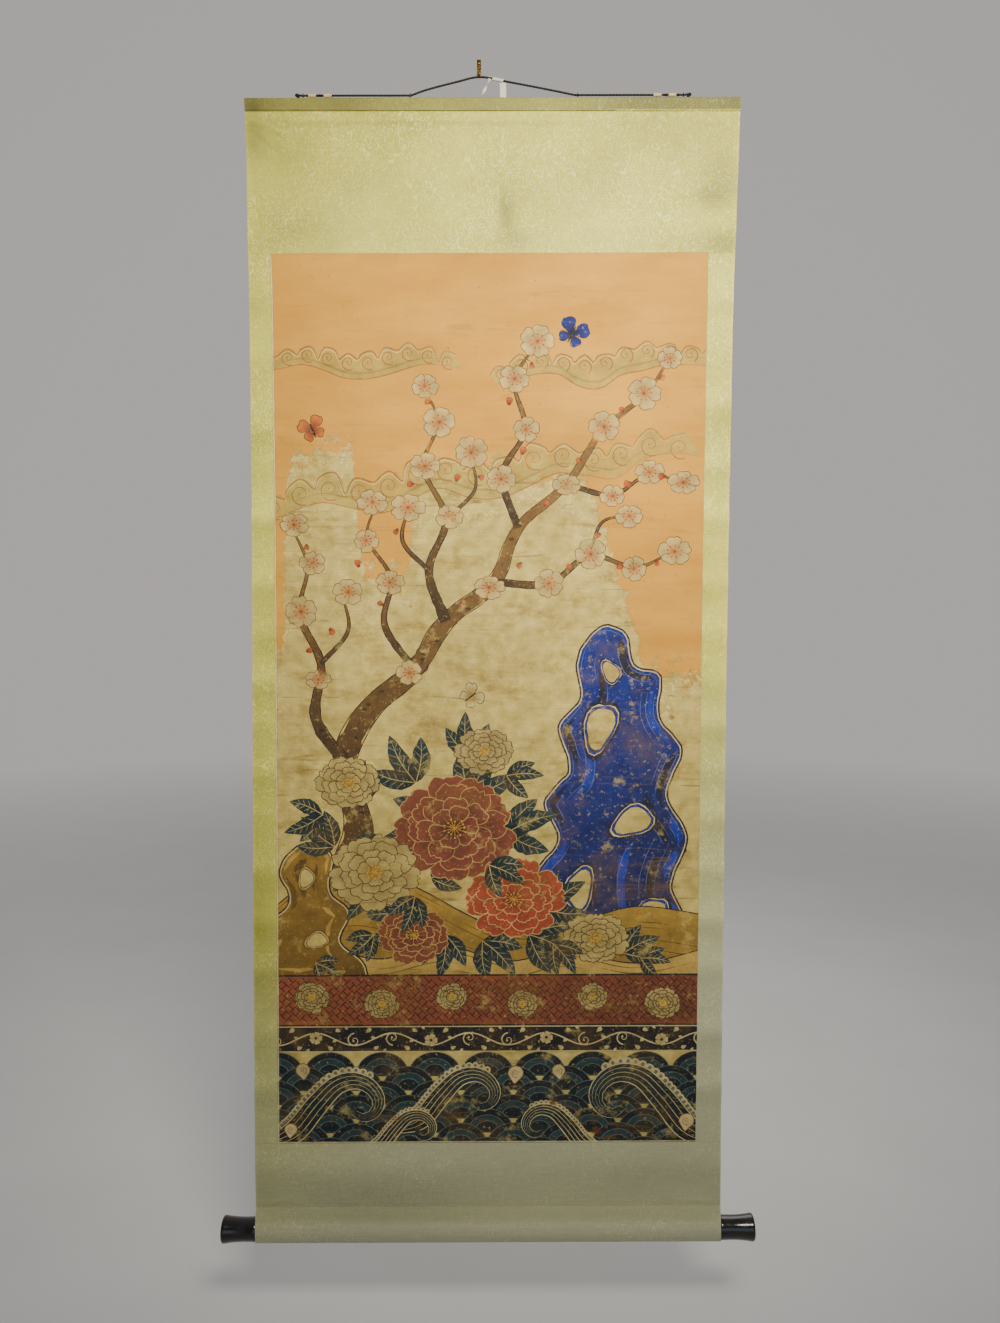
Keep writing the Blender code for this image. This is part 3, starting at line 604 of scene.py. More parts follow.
def black_lacquer():
    material, tree, shader = new_material("black_lacquer")
    place = own_coordinates(tree)
    handled = place_group(tree, PATCHES, {"Vector": place, "Per metre": 55.0, "Cover": 0.5})["Mask"]
    dust = ramp(tree, cloudy(tree, place, 900.0, 3.0), 0.62, 0.72)
    lacquer = blend(tree, handled, screen(11, 9, 9), screen(24, 19, 17))
    lacquer = blend(tree, times(tree, dust, 0.12), lacquer, screen(120, 112, 100))
    tree.links.new(lacquer, shader.inputs["Base Color"])
    rough = plus(tree, ramp(tree, handled, 0.0, 1.0, 0.16, 0.27), times(tree, dust, 0.15))
    tree.links.new(rough, shader.inputs["Roughness"])
    bumped(tree, shader, cloudy(tree, place, 120.0, 2.0), 0.00006)
    shader.inputs["Coat Weight"].default_value = 0.4
    shader.inputs["Coat Roughness"].default_value = 0.12
    return material


def dull_brass():
    material, tree, shader = new_material("dull_brass")
    place = own_coordinates(tree)
    tarnish = place_group(tree, PATCHES, {"Vector": place, "Per metre": 160.0, "Cover": 0.75})["Mask"]
    brushed = cloudy(tree, place, 1500.0, 3.0, stretch=(1.0, 1.0, 0.1))
    brass = blend(tree, tarnish, screen(118, 98, 58), screen(44, 36, 26))
    tree.links.new(brass, shader.inputs["Base Color"])
    rough = plus(tree, ramp(tree, tarnish, 0.0, 1.0, 0.40, 0.62), times(tree, brushed, 0.08))
    tree.links.new(rough, shader.inputs["Roughness"])
    bumped(tree, shader, brushed, 0.00002)
    shader.inputs["Metallic"].default_value = 1.0
    return material


def yarn(name, first, second, per_metre, roughness):
    material, tree, shader = new_material(name)
    flat = cloth_coordinates(tree)
    threads = place_group(tree, THREADS, {"Vector": flat, "Per metre": per_metre})["Height"]
    uneven = cloudy(tree, flat, 180.0, 3.0)
    colour = blend(tree, ramp(tree, uneven, 0.3, 0.7), first, second)
    # Painted shade in the hollows between the threads.
    colour = blend(tree, ramp(tree, threads, 0.0, 0.5, 0.45, 0.0), colour, tuple(0.4 * c for c in second))
    tree.links.new(colour, shader.inputs["Base Color"])
    tree.links.new(
        ramp(tree, uneven, 0.3, 0.7, roughness - 0.08, roughness + 0.08), shader.inputs["Roughness"]
    )
    bumped(tree, shader, threads, 0.00008)
    return material


SILK_LOOK = damask_silk()
PAINTED_LOOK = painted_paper()
WOOD_LOOK = plain_wood()
LACQUER_LOOK = black_lacquer()
BRASS_LOOK = dull_brass()
CORD_LOOK = yarn("near_black_braid", screen(22, 18, 16), screen(12, 10, 9), 900.0, 0.78)
THREAD_LOOK = yarn("cream_thread", screen(228, 214, 176), screen(204, 184, 138), 1600.0, 0.8)
RIBBON_LOOK = yarn("white_tape", screen(228, 226, 214), screen(206, 204, 190), 1500.0, 0.65)


# ---- Cords ----
def tube(name, route, radii, sides):
    """A closed tube along a route; the map "cloth" holds metres round it and along it."""
    route = np.array(route, float)
    count = len(route)
    radii = np.broadcast_to(
        np.array(radii, float).reshape(-1, 1), (count, sides)
    ) if np.ndim(radii) < 2 else radii
    ways = np.gradient(route, axis=0)
    ways /= np.linalg.norm(ways, axis=1)[:, None]
    side = np.cross(ways[0], (0.0, 0.31, 0.95))
    side /= np.linalg.norm(side)
    runs = runs_along(route)
    turns = np.arange(sides) * math.tau / sides
    verts = []
    for i in range(count):
        side = side - ways[i] * side.dot(ways[i])
        side /= np.linalg.norm(side)
        over = np.cross(ways[i], side)
        ring = np.outer(np.cos(turns), side) + np.outer(np.sin(turns), over)
        verts.extend(route[i] + ring * radii[i][:, None])
    faces = []
    spots = []
    round_by = math.tau * float(np.mean(radii)) / sides
    for i in range(count - 1):
        for k in range(sides):
            after = (k + 1) % sides
            faces.append((i * sides + k, i * sides + after, (i + 1) * sides + after, (i + 1) * sides + k))
            spots += [(k * round_by, runs[i]), ((k + 1) * round_by, runs[i])]
            spots += [((k + 1) * round_by, runs[i + 1]), (k * round_by, runs[i + 1])]
    for ring, way, centre in ((0, -1, route[0]), (count - 1, 1, route[-1])):
        middle = len(verts)
        lift = ways[ring] * way * float(radii[ring].mean()) * 0.45
        verts.append(centre + lift)
        for k in range(sides):
            pair = (ring * sides + k, ring * sides + (k + 1) % sides)
            faces.append((middle, *pair) if way > 0 else (middle, pair[1], pair[0]))
            spots += [(0.0, runs[ring])] * 3
    made = piece_from(name, verts, faces)
    flat_map(made, spots)
    smooth_shaded(made, 70)
    return made


def braided(route, radius, sides, strands, lay):
    """The radius at each ring and side of a braid whose strands cross in diamonds."""
    runs = runs_along(route)[:, None]
    turns = (np.arange(sides) * math.tau / sides)[None, :]
    one = np.cos(strands / 2 * turns + math.tau * runs / lay)
    two = np.cos(strands / 2 * turns - math.tau * runs / lay)
    return radius * (1.0 + 0.07 * np.maximum(one, two) - 0.04)


def joined(name, made):
    """Several made pieces as one object."""
    deselect()
    for one in made:
        one.select_set(True)
    bpy.context.view_layer.objects.active = made[0]
    bpy.ops.object.join()
    whole = bpy.context.view_layer.objects.active
    whole.name = name
    whole.data.name = name
    return whole


def height_at(x, drop):
    tilt = TOP_TILT + (ROLLER_TILT - TOP_TILT) * drop / ROLLER_DROP
    return TOP_EDGE_Z - drop + tilt * (x - MIDDLE_X)


def cord_z(x):
    return height_at(x, 0.0) + CORD_ABOVE


cord_line = smooth_route(CORD_ROUTE, 0.0007)
hanging_cord = tube("hanging_braid", cord_line, braided(cord_line, CORD_RADIUS, 16, 8, 0.0052), 16)
dress(hanging_cord, CORD_LOOK, "dark_braid", "hanging_cord")


END_FROM, END_TO = 0.0030, 0.0462
STRANDS_APART = 0.00092
STRANDS_TURN_OVER = 0.030


def doubled_end(name, x, side):
    """Two strands that lie together from the cord to the eyelet, and the knot beyond it."""
    made = []
    along = np.linspace(END_FROM, END_TO, 60)
    for phase in (0.0, math.pi):
        turn = phase + along / STRANDS_TURN_OVER * math.tau
        xs = x + side * along
        ys, zs = CORD_Y + STRANDS_APART * np.cos(turn), cord_z(xs) + STRANDS_APART * np.sin(turn)
        line = np.stack((xs, ys, zs), axis=1)
        made.append(tube(name, line, braided(line, 0.00100, 12, 6, 0.0040), 12))
    neck = np.linspace(0.0040, -0.0040, 14)
    xs = x + side * neck
    line = np.stack((xs, np.full(14, CORD_Y), cord_z(xs)), axis=1)
    made.append(tube(name, line, braided(line, 0.00145, 12, 8, 0.0050), 12))
    t = np.linspace(0.0, math.tau, 120)
    over = np.sin(t) + 2 * np.sin(2 * t)
    up = np.cos(t) - 2 * np.cos(2 * t)
    through = -np.sin(3 * t)
    centre_x = x - side * 0.0078
    xs, ys, zs = centre_x + 0.00118 * over * side, CORD_Y + 0.0011 * through, cord_z(centre_x) + 0.00078 * up
    line = np.stack((xs, ys, zs), axis=1)
    made.append(tube(name, line, braided(line, 0.00120, 12, 6, 0.0045), 12))
    return dress(joined(name, made), CORD_LOOK, "dark_braid", name.replace("bound", "cord"))


cord_pieces = [
    doubled_end("bound_end_left", EYELETS[0][1], 1),
    doubled_end("bound_end_right", EYELETS[3][1], -1),
]


THREAD_PITCH = 0.00052
THREAD_RADIUS = 0.00029


def whipping(name, start, stop):
    """One thread wound close round the doubled cord."""
    turns = round((stop - start) / THREAD_PITCH)
    t = np.linspace(0.0, turns, turns * 16 + 1)
    xs = start + (stop - start) * t / turns
    radius = 0.00222 + 0.00003 * np.sin(t * 2.1)
    ys = CORD_Y + radius * np.cos(t * math.tau)
    zs = cord_z(xs) + radius * np.sin(t * math.tau)
    made = tube(name + "_thread", np.stack((xs, ys, zs), axis=1), THREAD_RADIUS, 5)
    return dress(made, THREAD_LOOK, "cream_thread", name)


cord_pieces += [whipping(*row) for row in WHIPPINGS]


def point_on_cord(x):
    return np.array([np.interp(x, cord_line[:, 0], cord_line[:, k]) for k in range(3)])


def strip_rows(name, rows, flat_start):
    """A strip of cloth from rows of points across it."""
    rows = np.array(rows)
    count, across = rows.shape[:2]
    verts = rows.reshape(-1, 3)
    faces = []
    spots = []
    width = np.linalg.norm(rows[0, -1] - rows[0, 0])
    middle = rows[:, across // 2]
    runs = flat_start + runs_along(middle)
    for i in range(count - 1):
        for k in range(across - 1):
            a = i * across + k
            faces.append((a, a + 1, a + across + 1, a + across))
            u, v = width * k / (across - 1), width * (k + 1) / (across - 1)
            spots += [(u, runs[i]), (v, runs[i]), (v, runs[i + 1]), (u, runs[i + 1])]
    made = piece_from(name, verts, faces)
    flat_map(made, spots)
    return made


def tie_ribbon():
    """Turns round the cord, a long end behind the cloth and a short twisted end in front."""
    start, stop = point_on_cord(TIE_FROM_X), point_on_cord(TIE_TO_X)
    way = (stop - start) / np.linalg.norm(stop - start)
    side = np.cross(way, (0.0, 0.0, 1.0))
    side /= np.linalg.norm(side)
    over = np.cross(side, way)
    length = np.linalg.norm(stop - start)
    turns = TIE_TURNS
    rows = []
    for t in np.linspace(0.0, turns, 90):
        row = []
        for share in np.linspace(0.0, 1.0, 7):
            along = (length - TIE_WIDTH) * t / turns + TIE_WIDTH * share
            radius = CORD_RADIUS + 0.00048 + 0.00050 * share + 0.00008 * math.sin(9 * t + 5 * share)
            turn = math.tau * t + 0.5
            row.append(start + way * along + radius * (side * math.cos(turn) + over * math.sin(turn)))
        rows.append(row)
    turned = strip_rows("tie_turns", rows, 0.0)
    made = []
    for name, route, width, twist, step in (
        ("tie_long", TIE_LONG_ROUTE, TIE_WIDTH, 0.0, 0.004),
        ("tie_short", TIE_SHORT_ROUTE, TIE_SHORT_WIDTH, 0.75, 0.0012),
    ):
        line = smooth_route(route, step)
        ways = np.gradient(line, axis=0)
        rows = []
        for i, place in enumerate(line):
            down = i / (len(line) - 1)
            run = Vector(ways[i]).normalized()
            fallen = np.linalg.norm(line[0] - place)
            cross = Vector((1.0, 0.0, TIE_LEAN * max(0.0, 1.0 - fallen / TIE_LEAN_FADES)))
            cross = (cross - run * cross.dot(run)).normalized()
            cross = Matrix.Rotation(math.tau * twist * down, 3, run) @ cross
            out = run.cross(cross)
            narrow = 1.0 if twist == 0.0 else 1.0 - 0.35 * math.sin(math.pi * min(1.0, down * 1.25)) ** 2
            row = []
            for share in np.linspace(-0.5, 0.5, 7):
                bow = 0.00045 * (1 - 4 * share * share) + 0.00012 * math.sin(40 * down + 4 * share)
                row.append(Vector(place) + cross * width * narrow * share + out * bow)
            rows.append(row)
        made.append(strip_rows(name, rows, 0.05))
    pieces = joined("tie_turns_and_short_end", [turned, made[1]]), made[0]
    for piece in pieces:
        thickened(piece, TAPE_THICK)
        smooth_shaded(piece, 50)
        dress(piece, RIBBON_LOOK, "white_ribbon", "tie_ribbon")
    return pieces


tie_turns, tie_long = tie_ribbon()
long_line = smooth_route(TIE_LONG_ROUTE, 0.004)


# ---- The hung cloth ----
def outline_at(drop, column):
    return np.interp(drop, OUTLINE[:, 0], OUTLINE[:, OUTLINE_COLUMNS.index(column)])


def relief(x, drop):
    """How far the ripples and dents bring the cloth forward."""
    left, right = outline_at(drop, "left_edge"), outline_at(drop, "right_edge")
    side = 2.0 * (x - left) / (right - left) - 1.0
    to_left = np.maximum(0.0, -side) ** 3
    to_right = np.maximum(0.0, side) ** 3
    out = np.zeros_like(x)
    for at, at_left, at_middle, at_right, reach in RIPPLES:
        away = (drop - at) / reach
        crest = at_middle + (at_left - at_middle) * to_left + (at_right - at_middle) * to_right
        out += crest * np.exp(-2.0 * away * away)
    for at_x, at, depth, reach_x, reach_drop in DENTS:
        out -= depth * np.exp(-(((x - at_x) / reach_x) ** 2) - ((drop - at) / reach_drop) ** 2)
    return out


# Fine creases: x and drop at both ends, height and width.
CREASES = (
    (-0.3300, 0.0010, -0.3480, 0.0150, 0.00060, 0.0022), (-0.3405, 0.0020, -0.3475, 0.0100, 0.00050, 0.0016),
    (-0.3460, 0.0300, -0.2800, 0.0560, 0.00060, 0.0050), (-0.3470, 0.0420, -0.3050, 0.0800, -0.00060, 0.0060),
    (-0.3400, 0.0330, 0.2500, 0.0350, 0.00050, 0.0035), (0.3890, 0.0260, 0.3300, 0.0420, 0.00050, 0.0045),
    (0.0200, 0.1000, 0.0420, 0.2150, -0.00120, 0.0100), (0.3000, 0.1450, 0.3600, 0.1200, 0.00090, 0.0090),
    (-0.3550, 1.7000, -0.3000, 1.6950, 0.00040, 0.0040), (0.3800, 1.6980, 0.3100, 1.6940, 0.00040, 0.0040),
)
# Painted shadows in the silk's dents and folds, and a lighter place where the share is below 0: x, drop,
# reach in x and in drop, share of the light.
SHADOWS = (
    (0.040, 0.165, 0.014, 0.030, 0.24), (0.056, 0.205, 0.022, 0.022, 0.14),
    (0.352, 0.145, 0.032, 0.020, 0.20), (0.366, 0.100, 0.030, 0.030, 0.12),
    (0.360, 0.212, 0.030, 0.016, 0.14), (-0.335, 0.060, 0.016, 0.050, 0.14),
    (-0.341, 0.175, 0.006, 0.045, -0.10), (-0.270, 0.188, 0.080, 0.030, 0.13),
    (0.300, 0.060, 0.120, 0.040, 0.08), (-0.290, 0.080, 0.060, 0.050, 0.08),
    (-0.100, 0.036, 0.300, 0.008, 0.07), (-0.345, 1.250, 0.030, 0.300, 0.08),
    (-0.150, 1.690, 0.200, 0.040, 0.08), (0.250, 1.640, 0.120, 0.030, 0.06),
)
SHADOW_GAIN = 1.8
RIPPLE_GAIN = 1.7
PANEL_SHARES = np.linspace(0.0, 1.0, 181)


def creased(x, drop):
    """How far the fine creases and a faint cockle stand out."""
    out = np.zeros_like(x)
    for x0, d0, x1, d1, tall, wide in CREASES:
        way = np.array((x1 - x0, d1 - d0))
        length = np.linalg.norm(way)
        way /= length
        along = (x - x0) * way[0] + (drop - d0) * way[1]
        off = (x - x0) * way[1] - (drop - d0) * way[0]
        ends = np.clip(along / length, 0, 1)
        past = np.maximum(0.0, np.abs(along - length / 2) - length / 2)
        swell = np.sin(math.pi * np.clip(ends, 0.02, 0.98)) ** 0.7
        out += tall * swell * np.exp(-((off / wide) ** 2) - (past / wide) ** 2)
    cockle = np.sin(x * 95 + 3 * np.sin(drop * 31)) * np.sin(drop * 74 + 2 * np.sin(x * 23))
    return out + 0.00010 * cockle


def flat_depth(x, drop):
    """y of the cloth's middle layer between the stave and the roller."""
    share = (drop - FLAT_TOP_DROP) / (ROLLER_DROP - FLAT_TOP_DROP)
    fade = np.clip((drop - FLAT_TOP_DROP) / 0.03, 0.0, 1.0)
    fade = fade * np.clip((ROLLER_DROP - 0.03 - drop) / 0.03, 0.0, 1.0)
    lifted = RIPPLE_GAIN * relief(x, drop) + creased(x, drop)
    return FLAT_TOP_Y + (FLAT_BOTTOM_Y - FLAT_TOP_Y) * share - lifted * fade


def stave_wrap():
    """The top panel's path as y and drop: the free flap, over the stave, and in behind it."""
    lift = GAP + CLOTH / 2
    middle = (STAVE_TOP + STAVE_BOTTOM) / 2
    rise = (STAVE_BOTTOM - STAVE_TOP) / 2 + lift
    front = STAVE_FRONT - lift
    path = [(front, drop) for drop in np.linspace(FLAP_ROWS[0], FLAP_ROWS[-1], 8)]
    for degrees in range(15, 91, 15):
        turn = math.radians(degrees)
        back = STAVE_CORNER * (1 - math.cos(turn))
        path.append((front + back, middle - rise + STAVE_CORNER * (1 - math.sin(turn))))
    for degrees in range(80, -51, -10):
        turn = math.radians(degrees)
        path.append((STAVE_FRONT + (STAVE_DEPTH + lift) * math.cos(turn), middle - rise * math.sin(turn)))
    hollow = [path[-2], path[-1], *BEHIND_STAVE, (FLAT_TOP_Y, FLAT_TOP_DROP)]
    return path[:-2] + [tuple(p) for p in smooth_route(hollow, 0.0011)]


def roller_wrap():
    """The bottom panel's path as y and drop: once round the roller, up, and glued to its own back."""
    radius = TUNNEL_RADIUS + CLOTH / 2
    flap_y = FLAT_BOTTOM_Y - CLOTH - GAP
    to_y = ROLLER_Y - flap_y
    reach = math.hypot(to_y, FLAP_START_ABOVE)
    slope = math.atan2(FLAP_START_ABOVE, -to_y) - math.asin(radius / reach)
    last = 270.0 - math.degrees(slope)
    path = []
    for degrees in np.linspace(0.0, last, 46):
        turn = math.radians(degrees)
        path.append((ROLLER_Y + radius * math.cos(turn), ROLLER_DROP + radius * math.sin(turn)))
    start = ROLLER_DROP - FLAP_START_ABOVE
    touch_y, touch_drop = path[-1]
    for share in np.linspace(0.1, 0.92, 9):
        path.append((touch_y + (flap_y - touch_y) * share, touch_drop + (start - touch_drop) * share))
    path.append((flap_y + 0.0001, start - FLAP_BEND * 0.4))
    path.append((flap_y, start - FLAP_BEND))
    path.append((flap_y, start - FLAP_BEND * 2.2))
    path.append((flap_y, start - FLAP_GLUED))
    return path


def panel_x(share, drop, y):
    """x across a panel, drawn in where it goes round the roller."""
    left, right = outline_at(drop, "left_edge"), outline_at(drop, "right_edge")
    middle = (left + right) / 2
    forward = max(0.0, FLAT_BOTTOM_Y - y) if drop > PAINTING_BOTTOM else 0.0
    pull = DRAWN_IN * forward / (2 * TUNNEL_RADIUS)
    return middle + (left + (right - left) * share - middle) * (1.0 - pull)


def cloth_from(name, rows, lined):
    """A sheet from rows of points, top to bottom. lined says which rows have a paper back."""
    rows = np.array(rows)
    count, across = rows.shape[:2]
    runs = runs_along(rows[:, across // 2])
    faces = []
    spots = []
    for i in range(count - 1):
        for k in range(across - 1):
            a = i * across + k
            faces.append((a, a + across, a + across + 1, a + 1))
            left, right = rows[i, k, 0], rows[i, k + 1, 0]
            spots += [(left, runs[i]), (left, runs[i + 1]), (right, runs[i + 1]), (right, runs[i])]
    made = piece_from(name, rows.reshape(-1, 3), faces)
    flat_map(made, spots)
    thickened(made, CLOTH, even=True)
    mark = np.zeros(len(made.data.polygons), np.float32)
    half = len(faces)
    for i in range(count - 1):
        if lined(i):
            mark[half + i * (across - 1) : half + (i + 1) * (across - 1)] = 1.0
    numbers_on(made, "lining", "FLOAT", "FACE", mark)
    places = np.empty(len(made.data.vertices) * 3, np.float32)
    made.data.vertices.foreach_get("co", places)
    # tone holds the painted light and shade from shading_at.
    numbers_on(made, "tone", "FLOAT", "POINT", shading_at(places[0::3], places[1::3], places[2::3]))
    smooth_shaded(made, 40)
    return made


def shading_at(x, y, z):
    """Painted light and shade in the silk, kept as its tone: a darker flap, painted shade over and behind the
    stave and towards the bottom, painted shadows in the dents and folds, painted shading of the ripples and
    creases as if lit from above, and pale side edges.
    """
    drop = height_at(x, 0.0) - z
    tone = np.ones_like(x)
    flap = np.clip((STAVE_FRONT + 0.0004 - y) / 0.0004, 0.0, 1.0) * (drop < 0.02)
    tone -= flap * (0.53 + 0.04 * np.sin(x * 30 + 1) + 0.16 * np.abs(x / 0.36) ** 2)
    # Painted shade on the cloth over and behind the stave.
    tone -= 0.22 * np.clip((y - STAVE_FRONT - 0.002) / 0.004, 0.0, 1.0) * (drop < 0.02)
    # Painted shade, darker towards the bottom.
    tone -= 0.20 * np.clip((drop - 0.8) / 0.8, 0.0, 1.0) ** 1.5
    # Painted shadows in the dents and folds.
    for at_x, at, reach_x, reach, share in SHADOWS:
        tone -= SHADOW_GAIN * share * np.exp(-(((x - at_x) / reach_x) ** 2) - ((drop - at) / reach) ** 2)
    inside = np.minimum(x - outline_at(drop, "left_edge"), outline_at(drop, "right_edge") - x)
    # Painted light and shade from the ripples and creases, as if lit from above: slopes that face up are
    # lighter.
    slope = 1.8 * (relief(x, drop + 0.004) - relief(x, drop - 0.004)) / 0.008
    slope += 0.8 * (creased(x, drop + 0.001) - creased(x, drop - 0.001)) / 0.002
    return tone + 0.10 * np.exp(-((inside / 0.0028) ** 2)) + slope * (drop > 0.025)


def top_panel():
    wrap = stave_wrap()
    flat = np.linspace(FLAT_TOP_DROP, PAINTING_TOP - GAP / 2, 92)[1:]
    rows = []
    for y, drop in wrap:
        xs = panel_x(PANEL_SHARES, drop, 0.0)
        ys = np.full_like(xs, y)
        drops = np.full_like(xs, drop)
        if y < STAVE_FRONT and drop > FLAP_ROWS[-1]:
            loose = (drop - FLAP_ROWS[-1]) / (FLAP_DROP - FLAP_ROWS[-1])
            ys -= loose * np.clip(creased(xs, drops), 0.0, 1.0)
            ys -= 0.00016 * loose * (1 + np.sin(xs * 41 + 1.0) * np.sin(xs * 13))
            drops += loose**2 * (0.0022 + 0.0012 * np.clip(xs / 0.3, -1, 1))
        rows.append(np.stack((xs, ys, height_at(xs, drops)), axis=1))
    for drop in flat:
        xs = panel_x(PANEL_SHARES, drop, 0.0)
        drops = np.full_like(xs, drop)
        rows.append(np.stack((xs, flat_depth(xs, drops), height_at(xs, drop)), axis=1))
    made = cloth_from("top_silk", rows, lambda i: i >= len(wrap))
    return dress(made, SILK_LOOK, "damask_silk", "top_panel")


def bottom_panel():
    wrap = roller_wrap()
    flat = np.linspace(PAINTING_BOTTOM + GAP / 2, ROLLER_DROP, 70)[:-1]
    rows = []
    for drop in flat:
        xs = panel_x(PANEL_SHARES, drop, FLAT_BOTTOM_Y)
        drops = np.full_like(xs, drop)
        rows.append(np.stack((xs, flat_depth(xs, drops), height_at(xs, drop)), axis=1))
    for y, drop in wrap:
        xs = panel_x(PANEL_SHARES, drop, y)
        rows.append(np.stack((xs, np.full_like(xs, y), height_at(xs, drop)), axis=1))
    made = cloth_from("bottom_silk", rows, lambda i: i < len(flat))
    return dress(made, SILK_LOOK, "damask_silk", "bottom_panel")


def side_border(name, left, right, node_name):
    top, bottom = PAINTING_TOP + GAP / 2, PAINTING_BOTTOM - GAP / 2
    rows = []
    for drop in np.linspace(top, bottom, 420):
        start = outline_at(drop, left) + (GAP / 2 if left.endswith("seam") else 0.0)
        stop = outline_at(drop, right) - (GAP / 2 if right.endswith("seam") else 0.0)
        xs = start + (stop - start) * np.linspace(0.0, 1.0, 15)
        drops = np.full_like(xs, drop)
        rows.append(np.stack((xs, flat_depth(xs, drops), height_at(xs, drop)), axis=1))
    made = cloth_from(name, rows, lambda i: True)
    return dress(made, SILK_LOOK, "damask_silk", node_name)


top_silk = top_panel()
bottom_silk = bottom_panel()
left_silk = side_border("left_silk", "left_edge", "left_seam", "left_border")
right_silk = side_border("right_silk", "right_seam", "right_edge", "right_border")


# ---- The painting, in millimetres across and down the sheet ----
WIDE = 655.0
TALL = 1374.0
GRID_ACROSS = 56
EDGE_POINTS_DOWN = 116
FRONT_ROWS, BACK_ROWS = 172, 240
LONGEST_SIDE = 9.0
HARDLY_TURNS = 0.14
INK = screen(34, 29, 25)
INK_BROWN = screen(96, 72, 44)
CREAM = screen(200, 184, 140)
WORN_CREAM = screen(168, 152, 108)
GOLD = screen(190, 152, 84)
OCHRE = screen(164, 134, 76)
OCHRE_DEEP = screen(122, 98, 56)
LAPIS = screen(22, 38, 118)
LAPIS_BRIGHT = screen(20, 46, 140)
LAPIS_NIGHT = screen(18, 22, 46)
BRICK = screen(136, 78, 58)
BRICK_DEEP = screen(106, 60, 46)
NIGHT = screen(24, 23, 28)
TEAL_NIGHT = screen(14, 25, 30)
TEAL = screen(34, 54, 58)
GREY_TEAL = screen(84, 92, 90)


class Painting:
    """Shapes laid one over another, kept for one cut of the whole sheet."""

    def __init__(self):
        self.points = []
        self.shapes = []
        self.shape_looks = []
        self.looks = {}

    def keep_look(self, colour, body):
        if len(colour) == 3:
            colour = (colour, colour, (0.0, 0.0), (1.0, 0.0))
        look = self.looks.setdefault((*colour, body), len(self.looks))
        self.shape_looks.append(look)

    def lay(self, outline, colour, body=1.0):
        """A filled shape; colour is one, or two with the points that they lie at."""
        outline = np.array(outline, float)[:, :2]
        x, y = outline[:, 0], outline[:, 1]
        if (x * np.roll(y, -1) - y * np.roll(x, -1)).sum() < 0:
            outline = outline[::-1]
        start = len(self.points)
        self.points.extend(map(tuple, outline))
        self.shapes.append(list(range(start, start + len(outline))))
        self.keep_look(colour, body)

    def band(self, left, right, colour, body=1.0):
        """A shape between two lines that run side by side."""
        start = len(self.points)
        count = len(left)
        self.points.extend(map(tuple, np.array(left)))
        self.points.extend(map(tuple, np.array(right)))
        for i in range(count - 1):
            corners = np.array((start + i, start + count + i, start + count + i + 1, start + i + 1))
            spots = np.array([self.points[k] for k in corners])
            away = spots - spots.mean(axis=0)
            order = np.argsort(np.arctan2(away[:, 1], away[:, 0]))
            self.shapes.append([int(k) for k in corners[order]])
            self.keep_look(colour, body)


sheet_art = Painting()
hand = random.Random(11)


def turned_about(x, y, turn, u, v):
    """The place that lies u along and v across from (x, y), in a direction."""
    return x + u * math.cos(turn) - v * math.sin(turn), y + u * math.sin(turn) + v * math.cos(turn)


def beside(line, widths):
    """The lines on both sides of a line, each half a width away."""
    line = np.array(line, float)
    ways = np.gradient(line, axis=0)
    ways /= np.maximum(1e-9, np.linalg.norm(ways, axis=1))[:, None]
    out = np.stack((-ways[:, 1], ways[:, 0]), axis=1) * (np.array(widths) / 2)[:, None]
    return line + out, line - out


def brush(points, width, colour, body=1.0, start=0.25, stop=0.15, step=None):
    """A line that swells from its start and thins out to its end."""
    length = run_length(points)
    line = smooth_route(points, step or max(2.2, min(7.0, length / 9)))
    t = np.linspace(0.0, 1.0, len(line))
    swell = np.minimum(1.0, start + (1 - start) * t / 0.25) * np.minimum(
        1.0, stop + (1 - stop) * (1 - t) / 0.4
    )
    wobble = np.array([1 + hand.uniform(-0.14, 0.14) for _ in t])
    sheet_art.band(*beside(line, np.maximum(0.25, width * swell * wobble)), colour, body)


def closed(points, step):
    """A smooth closed outline."""
    points = [tuple(p) for p in points]
    around = points[-2:] + points + points[:2]
    line = smooth_route(around, step)
    away = np.linalg.norm(line - np.array(points[0]), axis=1)
    half = len(line) // 2
    return line[np.argmin(away[:half]) : half + np.argmin(away[half:])]


def round_blot(x, y, wide, tall, colour, body=1.0, sides=14, uneven=0.0, turn=0.0):
    outline = []
    for i in range(sides):
        a = math.tau * i / sides
        out = 1 + hand.uniform(-uneven, uneven)
        u, v = wide * out * math.cos(a), tall * out * math.sin(a)
        outline.append(turned_about(x, y, turn, u, v))
    sheet_art.lay(outline, colour, body)


